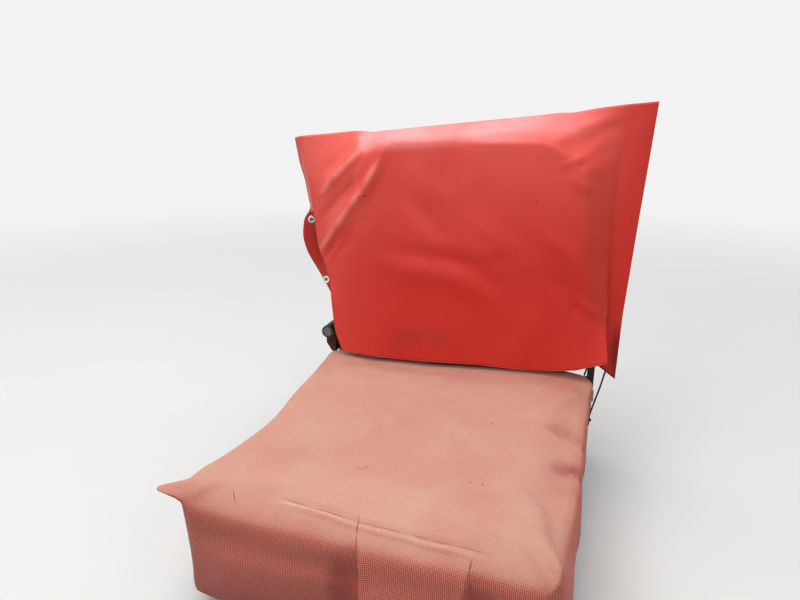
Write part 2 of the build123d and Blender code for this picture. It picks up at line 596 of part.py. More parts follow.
def slide_lever():
    """Rod with a cranked handle at its front and a toothed latch at its middle."""
    front = CUSHION_FRONT - HANDLE_AHEAD
    latch_end = (LATCH_TEETH * LATCH_PITCH) / 2
    back_end = max(EYE_PLACES) + EYE_THICK + ROD_R
    path = FilletPolyline((ROD_X, back_end, ROD_Z), (ROD_X, front, ROD_Z),
                          (ROD_X - HANDLE_REACH, front, ROD_Z), radius=ROD_BEND_R)
    rod = sweep(Plane(origin=path @ 0, z_dir=path % 0) * Circle(ROD_R), path=path)
    rail_face = RAIL_SPAN / 2 - LOWER_RAIL_WIDTH / 2
    tooth_low = FLOOR_TOP + SOFT_GAP + WINDOW_HEIGHT - TOOTH_HEIGHT - SIDE_GAP
    body_right = rail_face - LATCH_BODY_GAP
    rod += block(body_right - LATCH_BODY_WIDTH, body_right, -latch_end, latch_end, tooth_low, ROD_Z)
    for index in range(LATCH_TEETH):
        place = (index - (LATCH_TEETH - 1) / 2) * LATCH_PITCH
        rod += block(body_right - 1, rail_face + TOOTH_BITE, place - TOOTH_WIDTH / 2, place + TOOTH_WIDTH / 2,
                     tooth_low, tooth_low + TOOTH_HEIGHT)
    return rod


def lever_grip():
    front = CUSHION_FRONT - HANDLE_AHEAD
    grip = Cylinder(GRIP_R, GRIP_LENGTH)
    grip = chamfer(grip.edges().filter_by(GeomType.CIRCLE), GRIP_EDGE)
    grip = Pos(ROD_X - HANDLE_REACH + GRIP_LENGTH / 2 - GRIP_R, front, ROD_Z) * Rot(0, 90, 0) * grip
    bore = Cylinder(ROD_R, GRIP_LENGTH)
    return grip - Pos(ROD_X - HANDLE_REACH + GRIP_LENGTH / 2, front, ROD_Z) * Rot(0, 90, 0) * bore


def lever_brackets():
    """Two eye plates that carry the latch rod on the right upper rail's flange."""
    edge = RAIL_SPAN / 2 - RAIL_FLANGE / 2
    eyes = []
    for place in EYE_PLACES:
        eye = Pos(ROD_X, place, ROD_Z) * Rot(90, 0, 0) * Cylinder(EYE_R, EYE_THICK)
        eye += block(ROD_X, edge, place - EYE_THICK / 2, place + EYE_THICK / 2, FLANGE_BOTTOM, PAN_BOTTOM)
        eye -= block(ROD_X - 2 * EYE_R, edge, place - EYE_THICK, place + EYE_THICK, PAN_BOTTOM, PAN_TOP)
        eye -= Pos(ROD_X, place, ROD_Z) * Rot(90, 0, 0) * Cylinder(ROD_R + PIN_FIT, 2 * EYE_THICK)
        eyes.append(eye)
    return Compound(children=eyes)


def cord_tube(points, radius):
    """A tube along straight runs joined by arcs as large as the runs allow."""
    runs = [Vector(b) - Vector(a) for a, b in zip(points, points[1:])]
    radii = []
    for before, after in zip(runs, runs[1:]):
        turn = radians(before.get_angle(after))
        radii.append(0.45 * min(before.length, after.length) / (sin(turn / 2) / cos(turn / 2)))
    path = FilletPolyline(*points, radius=radii)
    tube = sweep(Plane(origin=path @ 0, z_dir=path % 0) * RegularPolygon(radius, CORD_SIDES), path=path)
    print("cord radii", [round(r, 1) for r in radii], "length", round(path.length, 1))
    return tube


def tie_cord():
    return cord_tube(CORD_ROUTE, CORD_R)


def cord_loop():
    """One turn of the cord round the right leg, laid just off its faces."""
    near, far = SOFT_GAP, SOFT_GAP + 2 * CORD_R
    loop = Box(LEG_THICK + 2 * far, LEG_WIDTH + 2 * far, 2 * CORD_R)
    loop = chamfer(loop.edges().filter_by(Axis.Z), CORD_R)
    loop -= Box(LEG_THICK + 2 * near, LEG_WIDTH + 2 * near, 2 * CORD_R)
    return BACK.location * Pos(LEG_X + LEG_THICK / 2, 0, LOOP_PLACE) * loop


def cord_knot(end, before, size):
    """A small round knot past the cord's end, with the cut tail beside it."""
    along = (Vector(end) - Vector(before)).normalized()
    lump = Pos(0, 0, -size) * extrude(RegularPolygon(size, CORD_SIDES), 2 * size)
    lump = chamfer(lump.edges().filter_by(Axis.Z, reverse=True), size / 3)
    tail = Rot(0, -90, 0) * extrude(RegularPolygon(CORD_R, CORD_SIDES), 2 * size)
    seat = Plane(origin=Vector(end) + along * (size + RUN_GAP), z_dir=along)
    return seat.location * (lump + tail)


def build():
    made = {
        "strap_front": base_strap(-FIXING_SPAN_Y / 2),
        "strap_rear": base_strap(FIXING_SPAN_Y / 2),
        "rail_rollers": rail_rollers(),
        "seat_pan": seat_pan(),
        "cushion": cushion(),
        "pivot_pins": pivot_pins(),
        "tilt_stud": tilt_stud(),
        "tilt_knob": tilt_knob(),
        "tube_saddles": tube_saddles(),
        "back_board": back_board(),
        "back_pad": back_pad(),
        "armrest_socket": armrest_socket(),
        "socket_plug": socket_plug(),
        "socket_bracket": socket_bracket(),
        "back_cover": back_cover(),
        "slide_lever": slide_lever(),
        "lever_grip": lever_grip(),
        "lever_brackets": lever_brackets(),
        "tie_cord": tie_cord(),
        "cord_loop": cord_loop(),
        "cord_knot": cord_knot(CORD_ROUTE[0], CORD_ROUTE[1], KNOT_R),
        "cord_end_knot": cord_knot(CORD_ROUTE[-1], CORD_ROUTE[-2], END_KNOT_R),
    }
    for name, side in (("left", -1), ("right", 1)):
        made[f"rail_lower_{name}"] = lower_rail(side)
        made[f"rail_upper_{name}"] = upper_rail(side)
        made[f"hinge_plate_{name}"] = hinge_plate(side)
        made[f"leg_{name}"] = back_leg(side)
    for name, place in CROSS_TUBE_PLACES.items():
        made[name] = cross_tube(place)
    for node, shape in made.items():
        written(shape, node)


build()
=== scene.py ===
"""Operator's seat with weather covers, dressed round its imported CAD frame.

Lengths are in metres. The tables of soft goods are in millimetres and are scaled by MM where they are used.
"""
import contextlib
import json
import math

import bmesh
import bpy
import numpy as np
from bpy.props import FloatProperty, FloatVectorProperty, PointerProperty
from mathutils import Matrix, Vector


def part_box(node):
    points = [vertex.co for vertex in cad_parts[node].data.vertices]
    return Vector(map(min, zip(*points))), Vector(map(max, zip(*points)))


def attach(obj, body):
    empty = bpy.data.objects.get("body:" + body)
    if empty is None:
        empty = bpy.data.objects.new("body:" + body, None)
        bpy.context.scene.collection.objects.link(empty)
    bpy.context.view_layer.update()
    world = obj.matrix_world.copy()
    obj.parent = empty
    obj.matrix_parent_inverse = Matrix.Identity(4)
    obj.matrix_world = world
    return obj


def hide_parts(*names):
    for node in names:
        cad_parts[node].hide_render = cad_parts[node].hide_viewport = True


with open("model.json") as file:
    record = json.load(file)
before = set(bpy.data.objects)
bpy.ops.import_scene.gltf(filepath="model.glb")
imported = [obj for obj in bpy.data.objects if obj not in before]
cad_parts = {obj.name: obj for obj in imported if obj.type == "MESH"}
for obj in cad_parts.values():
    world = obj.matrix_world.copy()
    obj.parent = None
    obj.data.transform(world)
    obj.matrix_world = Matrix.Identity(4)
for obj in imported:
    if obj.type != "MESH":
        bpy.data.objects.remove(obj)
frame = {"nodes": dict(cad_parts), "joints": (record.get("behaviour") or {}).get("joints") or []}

bl_info = {
    "name": "Operator seat with weather covers",
    "version": (1, 0, 0),
    "blender": (4, 5, 0),
    "location": "3D View > Sidebar > Seat",
    "description": "Covers, pads, cord and finishes of an operator's seat",
    "category": "Object",
}

MM = 0.001

# The leaning backrest: its pivot from the frame, and the cover's own frame on it,
# with u across, n from front to back and v up along the cover
TILT = next(joint for joint in frame["joints"] if joint["name"] == "backrest_tilt")
PIVOT = Vector(TILT["pos_m"])
LEAN = math.radians(8)
COVER_MIDDLE = 0.278
COVER_TWIST = math.radians(5.3)
BACK_FRAME = Matrix.Translation(PIVOT) @ Matrix.Rotation(-LEAN, 4, "X")
COVER_FRAME = (BACK_FRAME @ Matrix.Translation((0, 0, COVER_MIDDLE))
               @ Matrix.Rotation(-COVER_TWIST, 4, "Y"))

# Back pad on the backrest, which the cover's sheets lie on
PAD_HALF_WIDTH = 200.0
PAD_LOW = 74.0
PAD_HIGH = 436.0
PAD_CORNER = 85.0
BOARD_CORNER = 45.0
SHEET_EDGE = 9.0
PAD_FRONT_N = -74.8
LEG_BACK_N = 17.0
LEG_OUTER = 243.0
LEG_INNER = 231.0
LEG_REACH = 318.0
TUBE_TOP_S = 294.0
SADDLE_X = 110.0
SADDLE_BACK_N = 18.0
BOARD_BACK_N = -4.8
SHEET_CLEAR = 1.1

# Edges of the cover's sheets as (u, v, n): front sheet, its slit and crease, and the flange
FRONT_LEFT = [(-233, -212, -75), (-246, -174, -74), (-251, -117, -70), (-253, -98, -66), (-257, -81, -59),
              (-268, -51, -51), (-280, -28, -45), (-287, -5, -39), (-293, 33, -34), (-299, 90, -31),
              (-308, 140, -30), (-314, 193, -29)]
FRONT_HEM = [(-233, -212, -75), (-197, -219, -76), (-118, -226, -76), (30, -231, -76),
             (133, -238, -77), (190, -233, -80), (242, -219, -80)]
FRONT_TOP = [(-314, 193, -29), (-201, 192.6, -29), (-187, 191.5, -31), (-170, 188, -29),
             (-40, 189.5, -29), (121, 190.4, -29), (170, 191.5, -29), (186, 189.5, -30), (228, 193.6, -29),
             (274, 195.5, -29)]
FRONT_SLIT = [(242, -219, -80), (239, -148, -48)]
FRONT_CREASE = [(239, -148, -48), (241, -60, -38), (247, 16, -32), (253, 60, -30), (260, 107, -29.5),
                (267, 150, -29), (274, 195.5, -29)]
FLANGE_TAIL_IN = [(227, -237, -29), (233, -190, -30), (239, -148, -48)]
FLANGE_TAIL_OUT = [(254, -259, -28), (266, -148, -24)]
FLANGE_OUT = [(266, -148, -24), (287, -5, -23), (300, 81, -25), (317, 195.5, -29)]
STRIP_FROM = 48.0
STRIP_EDGE = [(-303, 48, -24), (-312, 58, -8), (-317, 75, -5), (-323, 112, -3), (-333, 144, -1),
              (-341, 195, 0)]

# Back sheet: its left edge with the bulging flap, its hem, and how it goes round the right leg
BACK_LEFT = [(-250, -212, 20), (-291, -114, 15), (-311, -76, 12), (-334, -30, 9), (-340, 2, 4),
             (-332, 40, -1), (-314, 54, -5), (-317, 75, -3.5), (-323, 112, -1.5), (-333, 144, 0.5),
             (-341, 194, 1.5)]
BACK_HEM = [(-250, -212, 20), (-120, -221, 21), (60, -226, 20), (223, -229, 20)]
BACK_TOP = [(-341, 194, 1.5), (-314, 191.5, -26.5), (-201, 191, -27.4), (-187, 189.5, -27.4),
            (-170, 186.5, -27.4), (-40, 188, -27.4), (121, 188.9, -27.4), (170, 190, -27.4),
            (186, 188, -27.4), (240, 192, -27.4)]
BACK_CORNER = [(223, -229, 20), (231, -148, 20), (249, 45, 20), (250, 110, 12), (246, 160, -10),
               (240, 192, -27.4)]
BACK_FOLD = [(227, -237, -27), (234, -148, -26), (252, 45, -26), (256, 110, -27), (248, 192.4, -27.4)]
BACK_FLANGE_OUT = [(254, -259, -26.5), (266, -148, -22.5), (287, -5, -21.5), (300, 81, -23.5),
                   (317, 195, -27.4)]

# Folds of the two sheets: (points of the line as (u, v), half width, height away from the pad)
FRONT_FOLDS = [
    ([(-184, 187), (-178, 152), (-206, 131), (-239, 107), (-272, 83)], 12, 10.0),
    ([(-196, 164), (-232, 142), (-266, 120)], 10, -2.0),
    ([(-154, 124), (-204, 88), (-246, 58), (-285, 24)], 9, -6.0),
    ([(-128, 160), (-141, 129), (-169, 84), (-199, 54), (-235, 18), (-282, -24)], 13, 11.5),
    ([(-160, 40), (-208, -6), (-245, -36)], 12, -4.0),
    ([(-238, -8), (-274, -48)], 6, -4.5),
    ([(-218, -2), (-264, -46)], 6, 3.0),
    ([(-60, 166), (38, 169), (90, 170), (130, 158)], 11, 6.5),
    ([(73, 159), (112, 152), (138, 137), (161, 114), (172, 98)], 4, -1.6),
    ([(165, 99), (219, 121)], 6, 3.0),
    ([(165, 93), (210, 102)], 5, -3.0),
    ([(180, 88), (206, 68), (226, 58)], 9, 2.5),
    ([(284, 197), (228, 177), (178, 151), (138, 131)], 15, 4.2),
    ([(262, 166), (225, 150), (190, 130)], 10, -2.2),
    ([(247, 128), (212, 108)], 10, -2.0),
    ([(-71, 106), (-6, 53), (64, -6), (118, -56)], 17, 4.0),
    ([(-110, 80), (-51, 26), (-9, -25)], 17, -3.0),
    ([(-39, 78), (40, 20), (98, -34)], 15, -2.5),
    ([(-139, -22), (-24, -42), (62, -84), (100, -122)], 16, -3.5),
    ([(-39, -39), (49, -55), (91, -42)], 15, -2.5),
    ([(-150, -40), (-101, -62), (-10, -78), (40, -110)], 18, 3.0),
    ([(133, 6), (185, -43), (234, -128)], 14, 3.0),
    ([(185, -108), (228, -146)], 7, 3.0),
    ([(150, -70), (205, -146)], 14, -3.0),
    ([(60, -238), (110, -190), (130, -120)], 24, 2.5),
]
BACK_FOLDS = [
    ([(-200, 150), (-90, 60), (-40, -60)], 24, 5.0),
    ([(200, 150), (90, 70), (30, -20)], 22, 4.0),
    ([(-240, 20), (-160, -60), (-60, -150)], 18, 4.0),
    ([(225, 40), (150, -60), (60, -150)], 20, -4.0),
]

# More of the two sheets: slow waves as (turn across, turn up, phase, height), the rounds that pull a sheet
# tight, a depth with nothing in the way, the length of the slit and the crease above it, where the cord
# goes through, the belly of the front sheet, and the eyelets as (u, v, n) with their sizes in metres
RIPPLES = [(0.021, 0.034, 0.3, 0.55), (-0.047, 0.026, 1.9, 0.40), (0.072, -0.041, 0.7, 0.22),
           (0.013, -0.019, 2.6, 0.80), (0.105, 0.088, 4.1, 0.10)]
RELAX_ROUNDS = 2500
NOTHING_NEAR = 60.0
SLIT_AND_CREASE = 413.0
SHEET_ROWS = 105
CORD_NOTCH_V = -213.0
BELLY = 7.0
EYELETS = {"eyelet_upper": (-317, 34, 3), "eyelet_lower": (-299, -88, 15)}
EYELET_RADIUS = 0.0054
EYELET_WIRE = 0.0026
WELD = 0.0002

# Seat cover: its foam block, its hem round the pan, and the outline of its top, with the left and right
# edges as (y, x), the height of the back edge as (x, z) and the rim behind it as (x, lift)
CUSHION_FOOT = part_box("cushion")[0].z
FOAM_VOXEL = 0.0055
SWELL_PRESSURE = 4.0
SWELL_FRAMES = 20
BLOCK_WIDTH = 0.467
BLOCK_DEPTH = 0.472
BLOCK_CORNER = 0.026
RIM_CORNER = 0.039
RIM_CLEAR = 0.0014
FOAM_TOP = 0.177
FRONT_ROLL = 0.036
SIDE_RIM = 0.010
SWOLLEN_HALF = 0.232
EDGE_HEIGHT = 0.1805
BACK_EDGE = [(-235, 178.5), (-200, 176.5), (-176, 175.5), (-97, 175.5), (-40, 178), (0, 180.5), (51, 184),
             (119, 186), (154, 187.5), (186, 190.5), (207, 190), (230, 185.5)]
BACK_RIM = [(-205, 0), (-110, 1.5), (50, 2.2), (100, 3.0), (145, 4.6), (180, 4.6), (202, 0.5), (215, 0)]
LEFT_EDGE = [(-245, -227), (-218, -230), (-189, -235), (-156, -230), (-120, -223), (-90, -219), (-45, -216),
             (-5, -218), (85, -229), (171, -233), (243, -246)]
RIGHT_EDGE = [(-245, 228), (-200, 229), (-146, 231), (-80, 237), (0, 239), (100, 238.5), (163, 240.5),
              (212, 246), (245, 245)]

# Lines that shape the seat cover: dents at its right edge as (points, half width, height), the sewn tuck
# along the front of the top, and the two pleats below it as ((height, x) down the line, side it opens to)
SIDE_DENTS = [
    ([(172, 66), (207, 70), (243, 55)], 12, -9.0),
    ([(196, 22), (214, 28), (243, 26)], 9, 3.0),
    ([(192, -44), (222, -18), (245, -6)], 10, -8.0),
    ([(206, -74), (243, -66)], 9, -2.0),
    ([(150, 226), (200, 205), (240, 180)], 13, -2.5),
]
TUCK = [(-104, -200), (-64, -202), (-12, -206), (58, -208), (84, -210), (106, -210), (150, -214)]
PLEATS = {
    "left": ([(50, 13), (108, 10.3), (129, 8.4), (150, 6.3), (167, 0.7), (179, -4.8)], -1),
    "right": ([(50, 124), (100, 127), (133, 128.9), (157, 130.7), (170, 131.7)], 1),
}
PLEAT_TOP = 0.171
PLEAT_FULL = 0.112
EAR_TIP = (-0.259, -0.228, 0.177)
EAR_LIFT = (-0.003, -0.005, 0.008)
EAR_LOW = 0.158
EAR_SPREAD = 0.038
SLACK = 0.0008
SKIRT_BELLY = 0.003
SKIRT_WAVES = [(38.0, 0.0022), (71.0, 0.0010)]
TUCK_HEIGHT = 0.0024

# Marks of the back cover in its flat layout: patches of painted highlight where the left folds catch the
# light as (centre, reach, share) and faint straight lines as (centre, reach), both in metres; painted
# highlights along the crests of two folds, and scuffs, in millimetres as (points, half width)
SHEET_LIT_PATCHES = [((-0.215, 0.055), (0.09, 0.06), 0.30), ((-0.245, 0.145), (0.09, 0.07), 0.40)]
SHEET_LINES = [((-0.16, -0.142), (0.06, 0.0012)), ((-0.08, -0.066), (0.14, 0.0010)),
               ((0.12, -0.030), (0.09, 0.0009))]
# Painted highlights along the crests of two folds of the front sheet
SHEET_FOLD_HIGHLIGHTS = [(FRONT_FOLDS[0][0], 10), (FRONT_FOLDS[3][0][1:], 9)]
SHEET_SCUFFS = [([(-179, 68.3), (-174.5, 70.2)], 1.3), ([(-172.5, 71.6), (-165, 72.6)], 1.0)]
SCRIM_TURN = 5200

# Marks of the seat cover in its flat layout: patches in metres as (centre, reach, share, tone), some of them
# the cloth's own tone and some painted shade, the specks in millimetres as (x, y, radius), and lines in
# millimetres, among them a painted shadow under the back cover's hem and a painted shade line in the ear's
# crease
COVER_TONES_AND_SHADE = [
    ((-0.175, -0.235), (0.11, 0.045), 0.75, (0.84, 0.49, 0.41)),
    ((-0.02, -0.175), (0.19, 0.05), 0.6, (0.88, 0.68, 0.60)),
    ((0.165, -0.09), (0.05, 0.10), 0.6, (0.84, 0.66, 0.59)),
    # Painted shade in the recesses beside the two pleats
    ((-0.016, -0.290), (0.024, 0.055), 0.7, (0.58, 0.25, 0.21)),
    ((0.148, -0.275), (0.022, 0.035), 0.5, (0.62, 0.30, 0.25)),
    # Painted shade at the back right, under the back cover's hem
    ((0.205, 0.215), (0.070, 0.060), 0.7, (0.74, 0.36, 0.30)),
    # Painted shade in two dents of the right side
    ((0.212, 0.062), (0.042, 0.024), 0.75, (0.66, 0.33, 0.29)),
    ((0.220, -0.022), (0.032, 0.022), 0.75, (0.66, 0.33, 0.29)),
]
SPECKS = [(19, 4, 1.6), (58, -6, 1.5), (68, -6, 1.2), (83, -2, 1.6), (107, 41, 2.2), (65, -86, 1.4),
          (79, -87, 1.1), (81, -77, 1.2), (107, -114, 1.6), (122, -113, 2.0), (-100, -104, 1.3)]
STAIN = [(-36, -128), (-29, -126), (-22, -115)]
# Painted shadow along the cushion's back edge, under the back cover's hem
HEM_SHADOW_LINE = [(-215, 246), (-60, 246), (60, 246), (185, 246)]
# Painted shade line in the crease by the ear
EAR_CREASE_SHADE = [(-169, -201), (-157, -218)]


class SeatSizes(bpy.types.PropertyGroup):
    """Sizes that a user of the seat would change."""
    sheet_thickness: FloatProperty(name="Cover sheet", description="Thickness of the coated back cover",
                                   default=0.0011, min=0.0005, unit="LENGTH")
    weave_pitch: FloatProperty(name="Weave pitch", description="Distance between yarns of the seat cover",
                               default=0.0021, min=0.001, unit="LENGTH")
    swell: FloatProperty(name="Cushion swell", description="Most that the foam pushes the seat cover out",
                         default=0.009, min=0.0, unit="LENGTH")
    side_swell: FloatProperty(name="Side swell", description="Most that the foam pushes the sides out",
                              default=0.0035, min=0.0, unit="LENGTH")
    crown: FloatProperty(name="Cushion crown", description="Rise of the cushion's middle over its edges",
                         default=0.004, min=0.0, unit="LENGTH")
    pleat_depth: FloatProperty(name="Pleat depth", description="Depth of the two front pleats at their foot",
                               default=0.015, min=0.0, unit="LENGTH")
    cord_diameter: FloatProperty(name="Cord diameter", description="Thickness of the tie cord",
                                 default=0.003, min=0.001, unit="LENGTH")


def colour_property(name, description, value):
    """A colour that the sidebar shows, kept as the screen shows it."""
    return FloatVectorProperty(name=name, description=description, default=value, size=3, min=0.0, max=1.0,
                               subtype="COLOR_GAMMA")


class SeatColours(bpy.types.PropertyGroup):
    """Colours of the seat's finishes."""
    sheet_red: colour_property("Back cover", "Coated sheet where it is little faded", (0.79, 0.145, 0.09))
    # Also the colour of painted sky light on the upper and left parts of the back cover
    sheet_faded_and_lit: colour_property("Back cover, faded", "Coated sheet where the sun has bleached it",
                                 (0.93, 0.37, 0.32))
    # Also the colour of a painted sky reflection along the top of the back cover
    sheet_chalky_and_sheen: colour_property("Back cover, chalky", "Coated sheet that has gone chalky along the top",
                                  (0.99, 0.72, 0.72))
    weave_top: colour_property("Seat cover, top", "Sun-bleached yarns", (0.80, 0.59, 0.51))
    weave_side: colour_property("Seat cover, sides", "Yarns of the skirt", (0.92, 0.535, 0.465))
    weave_gap: colour_property("Seat cover, gaps", "Coating between the yarns", (0.52, 0.16, 0.12))
    frame_black: colour_property("Frame paint", "Black paint of the steel frame", (0.075, 0.075, 0.078))
    zinc: colour_property("Zinc", "Plated rails and rods", (0.62, 0.62, 0.60))
    rust: colour_property("Rust", "Rust on the bracket and on worn paint", (0.38, 0.19, 0.11))
    vinyl: colour_property("Pad vinyl", "Vinyl of the back pad", (0.085, 0.085, 0.09))
    plywood: colour_property("Plywood", "Board behind the pad", (0.62, 0.49, 0.34))
    cord: colour_property("Cord", "Tie cord", (0.035, 0.035, 0.038))
    floor: colour_property("Floor", "Pale studio floor", (0.86, 0.86, 0.85))


def sizes():
    """The seat's sizes, as the sidebar has them."""
    return bpy.context.scene.seat_sizes


def linear(colour):
    """A colour as shaders take it, from one as the screen shows it."""
    return tuple(c / 12.92 if c <= 0.04045 else ((c + 0.055) / 1.055) ** 2.4 for c in colour) + (1.0,)


def paint(name):
    """One of the seat's colours, as shaders take it."""
    return linear(getattr(bpy.context.scene.seat_colours, name))


# Materials

def node_of(tree, kind):
    """The node of a kind that a new material or world already has."""
    return next(node for node in tree.nodes if node.type == kind)


class Finish:
    """One node material. Each method adds a node and gives back its output."""

    def __init__(self, name, roughness=0.5, metallic=0.0, **sockets):
        self.material = bpy.data.materials.new(name)
        self.material.use_nodes = True
        self.tree = self.material.node_tree
        self.shader = node_of(self.tree, "BSDF_PRINCIPLED")
        self.shader.inputs["Roughness"].default_value = roughness
        self.shader.inputs["Metallic"].default_value = metallic
        for socket, value in sockets.items():
            self.shader.inputs[socket.replace("_", " ")].default_value = value
        self.place = self.add("TexCoord").outputs["Object"]
        self.flat = self.add("TexCoord").outputs["UV"]

    def add(self, kind, settings=None, **inputs):
        node = self.tree.nodes.new("ShaderNode" + kind)
        for key, value in (settings or {}).items():
            setattr(node, key, value)
        for key, value in inputs.items():
            self.feed(node.inputs[key.replace("_", " ")], value)
        return node

    def feed(self, socket, value):
        if isinstance(value, bpy.types.NodeSocket):
            self.tree.links.new(value, socket)
        else:
            socket.default_value = value

    def noise(self, scale, detail=3.0, roughness=0.5, distortion=0.0, at=None, stretch=None):
        """Noise with its middle at one half; scale is in patches a metre."""
        vector = at or self.place
        if stretch:
            vector = self.add("Mapping", Vector=vector, Scale=stretch).outputs["Vector"]
        node = self.add("TexNoise", Vector=vector, Scale=scale, Detail=detail, Roughness=roughness,
                        Distortion=distortion)
        return node.outputs["Fac"]

    def band(self, value, low, high, bottom=0.0, top=1.0):
        """Value stretched so that low becomes bottom and high becomes top, held at both."""
        node = self.add("MapRange", {"interpolation_type": "SMOOTHSTEP"}, Value=value, From_Min=low,
                        From_Max=high, To_Min=bottom, To_Max=top)
        return node.outputs["Result"]

    def calc(self, operation, first, second=0.0):
        node = self.add("Math", {"operation": operation})
        self.feed(node.inputs[0], first)
        self.feed(node.inputs[1], second)
        return node.outputs["Value"]

    def product(self, first, *others):
        """Some values multiplied."""
        for other in others:
            first = self.calc("MULTIPLY", first, other)
        return first

    def most(self, first, *others):
        """The largest of some values."""
        for other in others:
            first = self.calc("MAXIMUM", first, other)
        return first

    def wave(self, value, turn):
        return self.calc("SINE", self.calc("MULTIPLY", value, turn))

    def length(self, vector):
        return self.add("VectorMath", {"operation": "LENGTH"}, Vector=vector).outputs["Value"]

    def mix(self, share, first, second):
        node = self.add("Mix", {"data_type": "RGBA"})
        for index, value in ((0, share), (6, first), (7, second)):
            self.feed(node.inputs[index], value)
        return node.outputs[2]

    def over(self, colour, tone, *shares):
        """A colour with a tone over it, as far as the product of the shares."""
        return self.mix(self.product(*shares), colour, linear(tone))

    def axis(self, name, vector=None):
        return self.add("SeparateXYZ", Vector=vector or self.place).outputs[name]

    def spot(self, centre, inner, outer, stretch=(1, 1, 1), at=None, turn=0.0):
        """One inside a round patch, falling to nothing at its outer radius."""
        vector = self.add("Mapping", {"vector_type": "TEXTURE"}, Vector=at or self.place, Location=centre,
                          Rotation=(0, 0, turn), Scale=stretch).outputs["Vector"]
        return self.band(self.length(vector), outer, inner)

    def flat_spot(self, centre, reach, inner=0.2):
        """One inside a soft patch of the flat layout, in metres."""
        return self.spot((*centre, 0), inner, 1.0, (*reach, 1), self.flat)

    def trace(self, corners, half_width):
        """One along a thin soft line through points of the flat layout, in millimetres."""
        parts = []
        for (x0, y0), (x1, y1) in zip(corners, corners[1:]):
            middle = ((x0 + x1) / 2 * MM, (y0 + y1) / 2 * MM, 0)
            reach = 0.75 * math.hypot(x1 - x0, y1 - y0) * MM
            parts.append(self.spot(middle, 0.2, 1.0, (reach, half_width * MM, 1), self.flat,
                                   math.atan2(y1 - y0, x1 - x0)))
        return self.most(*parts)

    def facing(self, axis):
        """How far the surface faces an axis of the object, from 0 to 1."""
        normal = self.add("NewGeometry").outputs["Normal"]
        return self.axis(axis, normal)

    def bump(self, height, depth, strength=1.0, after=None):
        node = self.add("Bump", Height=height, Distance=depth, Strength=strength)
        if after:
            self.tree.links.new(after, node.inputs["Normal"])
        return node.outputs["Normal"]

    def finish(self, colour=None, roughness=None, normal=None):
        for socket, value in (("Base Color", colour), ("Roughness", roughness), ("Normal", normal)):
            if value is not None:
                self.feed(self.shader.inputs[socket], value)
        return self.material


